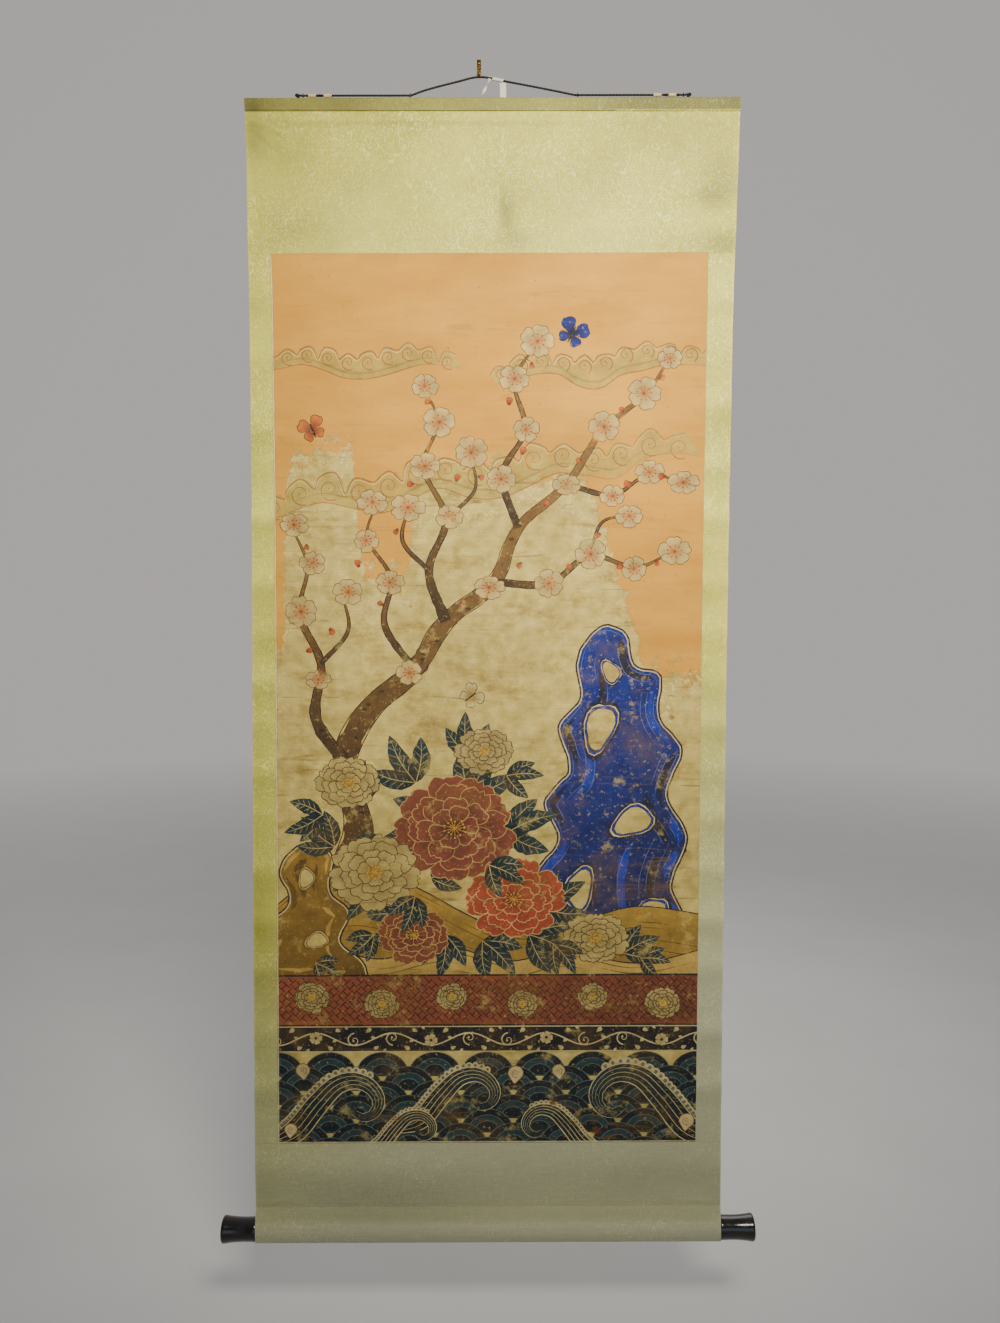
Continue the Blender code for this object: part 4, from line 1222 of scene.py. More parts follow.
def petal(x, y, turn, length, wide, base, tip, line, squash=1.0, weight=1.5, veins=2, notch=0.05):
    """A petal from (x, y) outwards: ruffled at the tip, deeper in colour at its base."""
    half = [
        (0.02, 0.13), (0.22, 0.42), (0.50, 0.86), (0.74, 1.0), (0.90, 0.80), (1.0, 0.45), (0.96 - notch, 0.20)
    ]
    side = [(u + hand.uniform(-0.025, 0.025), w * hand.uniform(0.93, 1.07)) for u, w in half]
    other = [(u + hand.uniform(-0.025, 0.025), -w * hand.uniform(0.93, 1.07)) for u, w in half]
    outline = side + [(1.0 + hand.uniform(-0.03, 0.02), 0.0)] + other[::-1]
    cos, sin = math.cos(turn), math.sin(turn)

    def placed(u, w):
        along, across = u * length, w * wide / 2
        return x + along * cos - across * sin, y + (along * sin + across * cos) * squash

    ring = closed([placed(u, w) for u, w in outline], max(3.0, length / 9))
    sheet_art.lay(ring, (base, tip, placed(0.1, 0.0), placed(0.95, 0.0)))
    rim = [placed(u, w) for u, w in outline[1:-1]]
    brush(rim, weight, line, start=0.3, stop=0.3, step=max(3.0, length / 9))
    for k in range(veins):
        w = (k - (veins - 1) / 2) * 0.42
        start, stop = placed(0.18, w * 0.4), placed(0.72 + hand.uniform(-0.05, 0.05), w)
        brush([start, placed(0.45, w * 0.8), stop], weight * 0.55, line, body=0.6, step=length / 6)


BLOSSOM = (screen(160, 124, 80), screen(188, 170, 122))
STAMEN_RED = screen(150, 62, 36)
RED_PEONY = (screen(70, 34, 28), screen(118, 66, 52), screen(176, 146, 98))
CORAL_PEONY = (screen(104, 42, 32), screen(150, 72, 54), screen(188, 158, 112))
CREAM_PEONY = (screen(122, 98, 56), screen(170, 154, 106), screen(70, 52, 32))
WORN_PEONY = (screen(112, 92, 58), screen(166, 150, 106), screen(74, 56, 36))


def stamen(x, y, end, width, colour, step, dots, dot_colour):
    """A fine line out from the middle of a flower, with a dot at its end."""
    brush([(x, y), ((x + end[0]) / 2, (y + end[1]) / 2), end], width, colour, step=step)
    wide, tall, sides = dots
    round_blot(*end, wide, tall, dot_colour, sides=sides)


def peony(x, y, radius, colours, turn=0.0, squash=0.86):
    base, tip, line = colours
    rings = ((1.0, 9, 0.62, 0.16), (0.80, 8, 0.52, 0.12), (0.60, 7, 0.42, 0.08), (0.40, 6, 0.32, 0.04))
    for level, (reach, count, wide, inner) in enumerate(rings):
        for i in range(count):
            a = turn + math.tau * (i + 0.5 * (level % 2)) / count + hand.uniform(-0.12, 0.12)
            start_x = x + inner * radius * math.cos(a)
            start_y = y + inner * radius * math.sin(a) * squash
            length = radius * (reach - inner) * hand.uniform(0.92, 1.06)
            veins = 2 if level < 2 else 1
            petal(start_x, start_y, a, length, radius * wide, base, tip, line, squash, 1.5, veins)
    round_blot(x, y, radius * 0.15, radius * 0.13, base, sides=12, uneven=0.08)
    for i in range(13):
        a = math.tau * i / 13 + hand.uniform(-0.1, 0.1)
        out = radius * hand.uniform(0.12, 0.19)
        end = (x + out * math.cos(a), y + out * math.sin(a) * squash)
        stamen(x, y, end, 1.0, GOLD, 3.0, (1.7, 1.5, 7), GOLD)


def leaf(x, y, turn, length, wide, bend):
    """A pointed leaf with a pale mid-rib and side veins."""

    def placed(u, w):
        across = w * wide / 2 + bend * length * math.sin(math.pi * u) * 0.5
        return turned_about(x, y, turn, u * length, across)

    us = np.linspace(0.0, 1.0, 13)
    shape = np.sin(math.pi * us**0.85) ** 0.85 + 0.02
    jag = np.array([hand.uniform(0.92, 1.08) for _ in us])
    left = [placed(u, w * j) for u, w, j in zip(us, shape, jag)]
    right = [placed(u, -w * j) for u, w, j in zip(us, shape, jag[::-1])]
    sheet_art.band(left, right, (TEAL_NIGHT, TEAL, placed(0.0, 0.0), placed(1.0, 0.0)))
    brush([placed(u, 0.0) for u in (0.0, 0.3, 0.6, 0.97)], 1.4, WORN_CREAM, start=1.0, step=length / 7)
    for u in (0.22, 0.38, 0.54, 0.70):
        for side in (1, -1):
            vein = [placed(u, 0.0), placed(u + 0.09, side * 0.4), placed(u + 0.15, side * 0.74)]
            brush(vein, 0.75, WORN_CREAM, step=length / 9)


def leaf_spray(x, y, turn, size):
    """Three leaves on one stalk."""
    for spread, share in ((-0.62, 0.84), (0.62, 0.84), (0.0, 1.0)):
        way = turn + spread + hand.uniform(-0.12, 0.12)
        leaf(x, y, way, size * share, size * 0.36, 0.12 if spread > 0 else -0.12)


def blossom(x, y, radius, open_share):
    """A five-petalled blossom of the fruit tree."""
    first = hand.uniform(0, math.tau)
    for i in range(5):
        a = first + math.tau * i / 5
        length = radius * hand.uniform(0.92, 1.05)
        petal(x, y, a, length, radius * 0.92, *BLOSSOM, INK_BROWN, open_share, 1.2, 0, 0.02)
    for i in range(9):
        a = first + math.tau * i / 9
        end = (x + 0.42 * radius * math.cos(a), y + 0.42 * radius * math.sin(a) * open_share)
        stamen(x, y, end, 0.8, STAMEN_RED, 4.0, (1.2, 1.2, 6), screen(120, 48, 30))
    round_blot(x, y, radius * 0.1, radius * 0.1, STAMEN_RED, sides=8)


def bud(x, y, radius, turn):
    """A closed red bud in its small green cup."""
    red = (screen(128, 48, 32), screen(182, 90, 60))
    green = (screen(60, 50, 30), screen(96, 80, 48))
    petal(x, y, turn, radius, radius * 0.8, *red, INK_BROWN, 1.0, 1.0, 0, 0.0)
    petal(x, y, turn + 0.5, radius * 0.5, radius * 0.3, *green, INK, 1.0, 0.7, 0, 0.0)


def branch(rows):
    """A bough from rows of across, down and width, with bark strokes."""
    dark, pale = screen(52, 38, 27), screen(118, 88, 54)
    line = smooth_route(rows, 9.0)
    widths = line[:, 2] * np.array([hand.uniform(0.86, 1.12) for _ in line])
    left, right = beside(line[:, :2], widths)
    sheet_art.band(left, right, (dark, pale, tuple(line[0, :2]), tuple(line[-1, :2])))
    for edge in (left, right):
        brush(edge[:: max(1, len(edge) // 24)], 1.7, INK, start=0.6, stop=0.4)
    for i in range(2, len(line) - 3):
        for _ in range(int(widths[i] / 9)):
            share = hand.uniform(-0.38, 0.38)
            start = line[i, :2] + (left[i] - right[i]) * share
            end = line[i + 1, :2] + (left[i + 1] - right[i + 1]) * (share + hand.uniform(-0.06, 0.06))
            bark = [start, (start + end) / 2 + hand.uniform(-1, 1), end]
            brush(bark, 1.1, hand.choice((INK, pale)), body=0.7, step=5.0)
    for _ in range(int(len(line) / 5)):
        i = hand.randrange(1, len(line) - 1)
        if widths[i] > 14:
            at = line[i, :2] + (left[i] - right[i]) * hand.uniform(-0.25, 0.25)
            round_blot(*at, 4.5, 3.0, dark, sides=10, uneven=0.1)
            round_blot(*at, 2.2, 1.4, INK, sides=8)


def inset(ring, by):
    """A closed outline moved inwards."""
    ring = np.array(ring)
    ways = np.roll(ring, -1, axis=0) - np.roll(ring, 1, axis=0)
    ways /= np.maximum(1e-9, np.linalg.norm(ways, axis=1))[:, None]
    inward = np.stack((-ways[:, 1], ways[:, 0]), axis=1)
    x, y = ring[:, 0], ring[:, 1]
    if (x * np.roll(y, -1) - y * np.roll(x, -1)).sum() < 0:
        inward = -inward
    return ring + inward * by


def garden_rock(points, hollows, colours, lines, folds, pieces=(7, 16)):
    """A pierced rock: a knobbly outline, folds that follow it, fine contour lines, and hollows."""
    dark, middle, bright = colours

    def clear_of_edge(part, depth):
        return min(float(np.linalg.norm(ring - p, axis=1).min()) for p in part) > depth * 0.86

    ring = closed(points, 7.0)
    ring = ring + np.array([(hand.uniform(-1.4, 1.4), hand.uniform(-1.4, 1.4)) for _ in ring])
    low, high = ring.min(axis=0), ring.max(axis=0)
    sheet_art.lay(ring, (middle, dark, tuple(low), (high[0], high[1])))
    for depth, wide, share in folds:
        outer = inset(ring, depth)
        i = 0
        while i < len(ring) - 8:
            count = hand.randrange(*pieces)
            part = outer[i : i + count]
            if len(part) > 5 and hand.random() < share and clear_of_edge(part, depth):
                brush(part, wide * hand.uniform(0.7, 1.2), hand.choice((dark, bright)), start=0.1, step=9.0)
                rim = inset(ring, depth + wide * 0.5)[i : i + count]
                brush(rim[1:-1:2], 1.0, lines[1], step=9.0)
            i += count + hand.randrange(1, 4)
        along = inset(ring, depth - wide * 0.4)
        for i in range(0, len(ring) - 12, 13):
            if clear_of_edge(along[i : i + 11], depth - wide * 0.4):
                brush(along[i : i + 11 : 2], 0.8, lines[1], step=10.0)
    for x, y, wide, tall, turn in hollows:
        for grow, colour in ((1.42, dark), (1.24, lines[0]), (1.18, middle), (1.04, INK), (1.0, None)):
            rim = []
            for i in range(18):
                a = math.tau * i / 18
                out = grow * (1 + 0.12 * math.sin(3 * a + x) + hand.uniform(-0.03, 0.03))
                u, v = wide * out * math.cos(a), tall * out * math.sin(a)
                rim.append(turned_about(x, y, turn, u, v))
            sheet_art.lay(rim, colour or AGED, 1.0 if colour else 0.0)
    brush([*inset(ring, 2.6)[::2], inset(ring, 2.6)[0]], 1.7, lines[0], start=0.8, stop=0.8, step=8.0)
    brush([*ring[::2], ring[0]], 2.2, INK, start=0.8, stop=0.8, step=8.0)


def spiral(x, y, radius, turns, side, first, width, colour, body=1.0):
    """A scroll that winds inwards and ends in a dot."""
    t = np.linspace(0.0, 1.0, max(8, int(turns * 14)))
    out = radius * (1 - 0.88 * t**0.85)
    a = first + side * math.tau * turns * t
    line = np.stack((x + out * np.cos(a), y + out * np.sin(a)), axis=1)
    sheet_art.band(*beside(line, width * (1 - 0.7 * t)), colour, body)
    round_blot(*line[-1], width * 0.75, width * 0.75, colour, body, sides=9)


def mist(points, lobe, side):
    """A trailing bank of mist: lobes along its upper edge, a smooth foot, and a scroll in each lobe."""
    fill, edge, worn = screen(168, 148, 88), screen(136, 88, 56), screen(224, 194, 134)
    line = smooth_route(points, lobe * 1.15)
    top = []
    middles = []
    for i in range(len(line) - 1):
        (x0, y0), (x1, y1) = line[i], line[i + 1]
        half = math.hypot(x1 - x0, y1 - y0) / 2
        tall = half * hand.uniform(0.9, 1.35)
        for k in range(8):
            a = math.pi * (1 - k / 8)
            top.append(((x0 + x1) / 2 + half * math.cos(a), (y0 + y1) / 2 - tall * math.sin(a)))
        middles.append(((x0 + x1) / 2, (y0 + y1) / 2, half))
    foot = []
    for i, (x, y) in enumerate(line):
        sag = lobe * hand.uniform(0.7, 1.0) * math.sin(math.pi * (i + 0.5) / len(line))
        foot.append((x + lobe * 0.3, y + sag))
    sheet_art.lay([*top, *foot[::-1]], fill, 0.8)
    brush(top[::3], 2.4, edge, body=0.8, start=0.6, stop=0.5, step=6.0)
    brush([(x, y + 3.4) for x, y in top[::3]], 1.2, worn, step=8.0)
    brush(foot, 1.8, edge, body=0.8, start=0.4, step=12.0)
    brush([(x, y - lobe * 0.35) for x, y in foot[1:-1]], 4.0, screen(146, 128, 76), body=0.9, step=12.0)
    for x, y, half in middles:
        spiral(x, y - half * 0.15, half * 0.78, 1.4, side, 0.35 * math.pi, 1.9, edge, body=0.9)


def butterfly(x, y, size, turn, colours):
    dark, bright = colours
    for a, length, wide in ((-2.35, 1.0, 0.8), (-0.8, 1.0, 0.8), (2.5, 0.72, 0.62), (0.65, 0.72, 0.62)):
        petal(x, y, a + turn, size * length, size * wide, dark, bright, INK, 1.0, 1.2, 2, 0.03)
    body = [(x + size * t * math.sin(turn), y - size * t * math.cos(turn)) for t in (-0.5, 0.0, 0.45)]
    brush(body, size * 0.13, INK, start=0.5, stop=0.5, step=size / 6)
    for side in (-0.25, 0.25):
        tip = (x + size * 0.8 * math.sin(turn + side), y - size * 0.8 * math.cos(turn + side))
        bent = ((body[-1][0] + tip[0]) / 2 + side * 4, (body[-1][1] + tip[1]) / 2)
        brush([body[-1], bent, tip], 0.8, INK, step=4.0)


def ruled(points, width, colour, body=1.0):
    """Straight lines with square corners."""
    points = [np.array(p, float) for p in points]
    for a, b in zip(points, points[1:]):
        way = (b - a) / np.linalg.norm(b - a)
        across = np.array((-way[1], way[0])) * width / 2
        a, b = a - way * width / 2, b + way * width / 2
        sheet_art.lay([a + across, b + across, b - across, a - across], colour, body)


def full_width(top, bottom, colour):
    """A band of ground right across the sheet."""
    sheet_art.lay([(0, top), (WIDE, top), (WIDE, bottom), (0, bottom)], colour)


def edge_lines(top, bottom, width, colour, body=1.0):
    for y in (top, bottom):
        ruled([(-2, y), (WIDE + 2, y)], width, colour, body)


def fretted_wall(top, bottom):
    """A brick-red terrace wall: a slanting fret in ink, and worn flower roundels."""
    full_width(top, bottom, (BRICK, BRICK_DEEP, (0, top), (WIDE * 0.7, bottom + 200)))
    cell = 15.0
    turn = math.radians(45)
    bars = (((0.16, 0.1), (0.16, 0.9)), ((0.84, 0.1), (0.84, 0.9)), ((0.16, 0.5), (0.84, 0.5)))
    reach = int((WIDE + TALL) / cell)
    for row in range(-reach, reach):
        for column in range(reach):
            for bar in bars:
                ends = []
                for u, v in bar:
                    if (row + column) % 2:
                        u, v = v, u
                    a, b = turned_about(0.0, top, turn, (column + u) * cell, (row + v) * cell)
                    ends.append((a, b - 300))
                if all(-2 < x < WIDE + 2 and top + 2 < y < bottom - 2 for x, y in ends):
                    ruled(ends, 1.7, screen(58, 28, 22))
    for k in range(6):
        x = 54 + 109.5 * k
        y = (top + bottom) / 2 + (6 if k % 2 else -5)
        peony(x, y, hand.uniform(24, 30), WORN_PEONY, hand.uniform(0, 1), 0.9)
    edge_lines(top, bottom, 3.0, INK)


# Small leaves of the running scroll: across and down, as shares, the way they point, and length.
SCROLL_LEAVES = (
    (0.30, 0.26, 0.7, 0.26),
    (0.42, 0.12, -0.5, 0.20),
    (-0.34, 0.30, math.pi - 0.4, 0.24),
    (-0.16, 0.36, 2.2, 0.18),
)


def scrolled_band(top, bottom):
    """A near-black band: a running cream scroll with small flowers."""
    full_width(top, bottom, NIGHT)
    middle, tall = (top + bottom) / 2, bottom - top
    unit = tall * 1.5
    count = int(WIDE / unit) + 2
    wave = [
        (unit * k / 4 - unit / 2, middle + tall * 0.25 * math.sin(math.pi * k / 4)) for k in range(count * 4)
    ]
    brush(wave, 2.1, CREAM, start=1.0, stop=1.0, step=unit / 9)
    for k in range(count):
        side = 1 if k % 2 else -1
        cx = unit * (k + 0.5) - unit / 2
        cy = middle - side * tall * 0.05
        if k % 3 == 1:
            for i in range(5):
                turn = math.tau * i / 5
                petal(cx, cy, turn, tall * 0.27, tall * 0.24, WORN_CREAM, CREAM, INK_BROWN, 1.0, 0.8, 0)
            round_blot(cx, cy, tall * 0.06, tall * 0.06, NIGHT, sides=8)
        else:
            spiral(cx, cy, tall * 0.30, 1.35, side, side * math.pi / 2, 2.2, CREAM)
        for dx, dy, turn, share in SCROLL_LEAVES:
            at = (cx + unit * dx, middle + side * tall * dy)
            long = tall * share
            petal(*at, side * turn, long, long * 0.62, WORN_CREAM, CREAM, CREAM, 1.0, 0.5, 0)
    edge_lines(top, bottom, 1.8, CREAM, 0.8)


def wave_scales(top, radius):
    """Rows of overlapping wave scales down to the sheet's foot."""
    shades = (
        (1.0, GREY_TEAL), (0.965, TEAL_NIGHT), (0.72, GREY_TEAL), (0.685, TEAL), (0.46, GREY_TEAL),
        (0.42, TEAL_NIGHT),
    )
    row = 0
    y = top
    while y - radius < TALL:
        for column in range(-1, int(WIDE / (2 * radius)) + 2):
            x = (2 * column + (row % 2)) * radius
            for share, colour in shades:
                r = radius * share
                arc = []
                for degrees in np.linspace(192, 348, max(7, int(16 * share))):
                    a = math.radians(degrees)
                    arc.append((x + r * math.cos(a), y + r * 0.86 * math.sin(a)))
                sheet_art.lay([*arc, (x + r * 0.3, y + r * 0.10), (x - r * 0.3, y + r * 0.10)], colour)
        y += radius * 0.56
        row += 1


BREAKER_SPINE = (
    (-2.1, 1.05), (-1.35, 0.72), (-0.80, 0.05), (-0.28, -0.48), (0.28, -0.56), (0.68, -0.22), (0.66, 0.20),
    (0.34, 0.36), (0.10, 0.20), (0.16, -0.02),
)
BREAKER_WIDTHS = ((0, 0.15, 0.35, 0.55, 0.75, 0.9, 1.0), (0.2, 0.62, 0.60, 0.48, 0.34, 0.22, 0.12))
# Foam along the wave's back: how far out, size, colour, body, sides and unevenness.
FOAM = ((0.02, 0.10, CREAM, 0.95, 11, 0.06), (0.035, 0.045, GREY_TEAL, 0.9, 8, 0.0))


def breaker(x, y, size, side):
    """A rolling wave: a thick dark body that curls over, foam along its back and fine lines along it."""
    line = smooth_route([(x + side * size * u, y + size * v) for u, v in BREAKER_SPINE], size / 8)
    widths = size * np.interp(np.linspace(0.0, 1.0, len(line)), *BREAKER_WIDTHS)
    left, right = beside(line, widths)
    back, hollow = (right, left) if side > 0 else (left, right)
    first, last = int(len(line) * 0.12), int(len(line) * 0.66)
    for off, share, colour, thick, sides, uneven in FOAM:
        for k in range(first, last):
            out = (back[k] - line[k]) / np.linalg.norm(back[k] - line[k])
            spot = back[k] + out * size * off
            round_blot(*spot, size * share, size * share, colour, thick, sides=sides, uneven=uneven)
    sheet_art.band(left, right, (TEAL_NIGHT, TEAL, (x - side * size, y + size), (x + side * size, y - size)))
    for share, width in ((0.46, 1.9), (0.24, 1.0), (0.02, 1.0), (-0.20, 1.0), (-0.44, 1.7)):
        along = line + (back - hollow) * share
        last_one = len(along) - 1 if abs(share) > 0.4 else int(len(along) * 0.86)
        brush(along[1:last_one:2], width, CREAM, start=0.5, stop=0.2, step=size / 6)
    for k in range(2, last, 2):
        ends = [line[k] + (back[k] - hollow[k]) * 0.40, line[k + 1] + (back[k + 1] - hollow[k + 1]) * 0.30]
        brush(ends, 0.8, WORN_CREAM, step=size / 12)


def foam_curl(x, y, size, side):
    """A pale drop of spray with a scroll in it."""
    rim = [
        (-0.1, 1.3), (0.45, 0.75), (0.95, 0.2), (0.80, -0.55), (0.2, -0.9), (-0.5, -0.75), (-0.9, -0.1),
        (-0.65, 0.5),
    ]
    ring = closed([(x + side * size * u, y + size * v) for u, v in rim], size / 3)
    sheet_art.lay(ring, CREAM, 0.95)
    outline = screen(120, 72, 54)
    brush([*ring[::2], ring[0]], 1.3, outline, start=0.8, stop=0.8, step=4.0)
    spiral(x, y, size * 0.55, 1.3, side, 1.2, 1.2, outline)


def hill(points, colours):
    """A rounded hill with ink contour lines that follow its top."""
    crest = smooth_route(points, 12.0)
    peak = crest[:, 1].min()
    foot = [(crest[-1, 0], 1200), (crest[0, 0], 1200)]
    sheet_art.lay([*crest, *foot], (*colours, (0, peak), (0, peak + 190)))
    brush(crest[::2], 2.2, INK, start=0.8, stop=0.8, step=12.0)
    for level in range(1, 15):
        i = hand.randrange(0, 7)
        while i < len(crest) - 5:
            count = hand.randrange(5, 17)
            part = crest[i : i + count] + np.array((0.0, level * 8.5 + hand.uniform(-1.5, 1.5)))
            if len(part) > 3 and hand.random() < 0.72:
                brush(part[::2], 1.4, screen(88, 66, 36), step=12.0)
            i += count + hand.randrange(1, 5)


def paint_scroll():
    """The garden picture, from the back forwards."""
    mist(
        (
            (-20, 396), (60, 352), (150, 360), (240, 322), (330, 336), (420, 300), (500, 316), (570, 284),
            (640, 300),
        ),
        40,
        1,
    )
    mist(((330, 190), (400, 160), (480, 172), (560, 146), (680, 160)), 30, -1)
    mist(((-20, 172), (50, 150), (130, 166), (210, 148), (280, 168)), 26, 1)
    garden_rock(
        (
            (420, 1130), (402, 1062), (424, 1004), (402, 944), (436, 890), (414, 832), (452, 780), (436, 716),
            (470, 668), (462, 612), (500, 560), (540, 572), (552, 618), (594, 636), (592, 700), (628, 752),
            (606, 820), (638, 890), (614, 960), (642, 1036), (630, 1130),
        ),
        (
            (500, 716, 20, 33, 0.3), (552, 862, 28, 19, -0.4), (470, 968, 18, 30, 0.2),
            (582, 1010, 18, 26, 0.5), (516, 630, 11, 16, -0.5),
        ),
        (LAPIS_NIGHT, LAPIS, LAPIS_BRIGHT),
        (CREAM, screen(92, 106, 152)),
        ((13, 13, 0.85), (34, 15, 0.8), (58, 15, 0.75), (80, 12, 0.7)),
    )
    branch((
        (150, 1130, 62), (132, 1046, 50), (98, 962, 46), (128, 868, 42), (104, 776, 38), (142, 690, 34),
        (214, 626, 30), (262, 552, 25), (336, 492, 21), (372, 410, 17), (446, 344, 13), (500, 262, 9),
        (560, 214, 6), (598, 160, 3),
    ))
    for rows in (
        ((108, 770, 22), (62, 700, 16), (70, 616, 12), (38, 540, 8), (50, 468, 5), (28, 410, 3)),
        ((262, 552, 16), (236, 474, 12), (262, 396, 9), (228, 318, 6), (250, 252, 4), (232, 204, 2.5)),
        ((372, 410, 12), (348, 330, 9), (382, 262, 7), (366, 190, 5), (398, 134, 3)),
        ((336, 492, 12), (420, 494, 9), (482, 452, 7), (552, 470, 5), (610, 446, 3)),
        ((214, 626, 12), (168, 556, 9), (178, 486, 6), (142, 424, 4), (156, 372, 2.5)),
        ((446, 344, 8), (516, 360, 6), (570, 330, 4), (622, 342, 2.5)),
        ((236, 474, 7), (196, 430, 5), (204, 380, 3)), ((262, 396, 6), (306, 352, 4), (300, 300, 2.5)),
        ((482, 452, 5), (500, 402, 3.5), (540, 392, 2.5)), ((70, 616, 7), (112, 566, 5), (104, 512, 3)),
    ):
        branch(rows)
    for row in (
        (40, 536, 25), (58, 462, 20), (30, 404, 23), (66, 640, 20), (112, 506, 24), (150, 370, 24),
        (140, 428, 19), (176, 492, 22), (204, 378, 26), (230, 316, 23), (252, 250, 25), (230, 196, 20),
        (300, 296, 25), (268, 392, 21), (366, 186, 24), (400, 130, 26), (384, 262, 20), (346, 336, 23),
        (446, 344, 22), (502, 258, 24), (562, 208, 26), (600, 156, 20), (572, 326, 22), (624, 342, 24),
        (516, 362, 19), (484, 450, 24), (542, 392, 22), (612, 446, 26), (550, 472, 20), (420, 494, 22),
        (328, 500, 24), (206, 630, 20),
    ):
        blossom(*row, open_share=hand.uniform(0.72, 1.0))
    for x, y in (
        (46, 596), (84, 560), (50, 432), (128, 470), (166, 528), (190, 410), (214, 344), (240, 222),
        (276, 340), (310, 330), (356, 226), (392, 160), (376, 300), (410, 376), (470, 310), (530, 238),
        (582, 184), (546, 344), (598, 334), (500, 420), (526, 462), (584, 458), (450, 476), (380, 462),
        (288, 528),
    ):
        bud(x, y, hand.uniform(9, 13), hand.uniform(0, math.tau))
    hill(
        (
            (-20, 1010), (40, 962), (120, 938), (210, 962), (300, 1010), (380, 1040), (470, 1020), (560, 996),
            (680, 1012),
        ),
        (OCHRE, OCHRE_DEEP),
    )
    hill(
        (
            (-20, 1080), (70, 1060), (160, 1078), (260, 1058), (360, 1082), (450, 1066), (560, 1086),
            (680, 1060),
        ),
        (screen(178, 150, 96), OCHRE),
    )
    garden_rock(
        (
            (-24, 1124), (-30, 1034), (18, 990), (4, 936), (40, 896), (86, 912), (82, 968), (114, 1004),
            (100, 1052), (136, 1084), (126, 1124),
        ),
        ((46, 950, 10, 14, 0.2), (62, 1048, 15, 10, -0.3)),
        (screen(92, 70, 38), screen(142, 114, 64), screen(170, 140, 84)),
        (CREAM, INK_BROWN),
        ((9, 8, 0.85), (24, 9, 0.8), (38, 8, 0.7)),
        (5, 11),
    )
    for x, y, turn, size in (
        (250, 860, 2.9, 92), (216, 800, -2.2, 84), (300, 820, -1.1, 90), (356, 880, -0.3, 86),
        (352, 960, 0.5, 92), (176, 900, 2.6, 80), (150, 950, 2.1, 78), (196, 1010, 2.5, 74),
        (262, 1040, 1.7, 70), (320, 1050, 0.9, 76), (392, 1040, 0.4, 84), (420, 1000, -0.6, 74),
        (90, 900, -2.4, 70), (72, 850, 2.8, 66), (120, 826, -1.2, 64), (470, 1064, -0.9, 66),
        (540, 1070, -0.5, 62), (240, 950, -0.2, 60), (356, 790, 0.1, 58), (300, 760, -1.7, 70),
    ):
        leaf_spray(x, y, turn, size)
    peony(276, 872, 98, RED_PEONY, 0.3)
    peony(152, 940, 70, CREAM_PEONY, 0.9)
    peony(368, 984, 80, CORAL_PEONY, 0.1, 0.8)
    peony(212, 1040, 58, RED_PEONY, 0.6, 0.78)
    peony(112, 800, 52, CREAM_PEONY, 0.2, 0.8)
    peony(322, 752, 46, WORN_PEONY, 1.1, 0.8)
    peony(496, 1046, 54, CREAM_PEONY, 0.5, 0.74)
    for x, y, turn, size in (
        (330, 930, 0.6, 64), (214, 980, 1.9, 60), (430, 1056, 0.9, 58), (150, 1040, 2.4, 52),
        (566, 1078, 0.2, 48), (60, 1084, 0.6, 44),
    ):
        leaf_spray(x, y, turn, size)
    fretted_wall(1104, 1184)
    scrolled_band(1186, 1226)
    wave_scales(1262, 41)
    for row in (
        (112, 1310, 64, 1), (548, 1302, 70, -1), (300, 1296, 56, 1), (420, 1346, 44, -1), (214, 1352, 40, 1),
    ):
        breaker(*row)
    for row in (
        (372, 1262, 13, 1), (40, 1256, 12, -1), (640, 1340, 13, 1), (20, 1352, 11, 1), (440, 1258, 11, -1),
    ):
        foam_curl(*row)
    butterfly(452, 120, 27, 0.5, (LAPIS_NIGHT, LAPIS))
    butterfly(60, 262, 24, -0.4, (BRICK_DEEP, screen(190, 110, 66)))
    butterfly(300, 668, 22, 0.9, (OCHRE, CREAM))
    stains = ((499, 1356, 7, 5), (72, 628, 6, 5), (430, 1310, 4, 3), (318, 1338, 3, 3), (610, 700, 4, 3))
    for x, y, wide, tall in stains:
        for grow, body in ((1.5, 0.22), (1.15, 0.45), (0.8, 0.75)):
            round_blot(x, y, wide * grow, tall * grow, screen(96, 54, 30), body, sides=14, uneven=0.14)
    for y, first, last in ((408, 30, 210), (413, 120, 330), (640, 20, 150), (905, 520, 650), (1010, 10, 120)):
        line = [(x, y + hand.uniform(-1.5, 1.5)) for x in np.linspace(first, last, 7)]
        brush(line, 0.8, screen(120, 98, 62), body=0.5, step=14.0)
    ruled([(1.2, 0), (1.2, TALL)], 1.6, screen(222, 208, 170), 0.8)
    ruled([(0, TALL - 1.4), (WIDE, TALL - 1.4)], 1.6, screen(222, 208, 170), 0.8)
    ruled([(2.6, 0), (2.6, TALL)], 0.7, screen(128, 104, 66), 0.5)


# How far down the peach ground reaches before it is worn, at places across the sheet.
PEACH_REACHES = (
    (0, 600), (15, 600), (21, 300), (120, 285), (132, 470), (205, 480), (218, 320), (480, 330), (520, 470),
    (570, 620), (655, 640),
)
PEACH_FADES_OVER = 150


def ring_of(sides):
    """The corners of a closed line of sides, in order."""
    after = {}
    for a, b in sides:
        after[a] = b
    ring = [sides[0][0]]
    while after[ring[-1]] != ring[0]:
        ring.append(after[ring[-1]])
    return ring


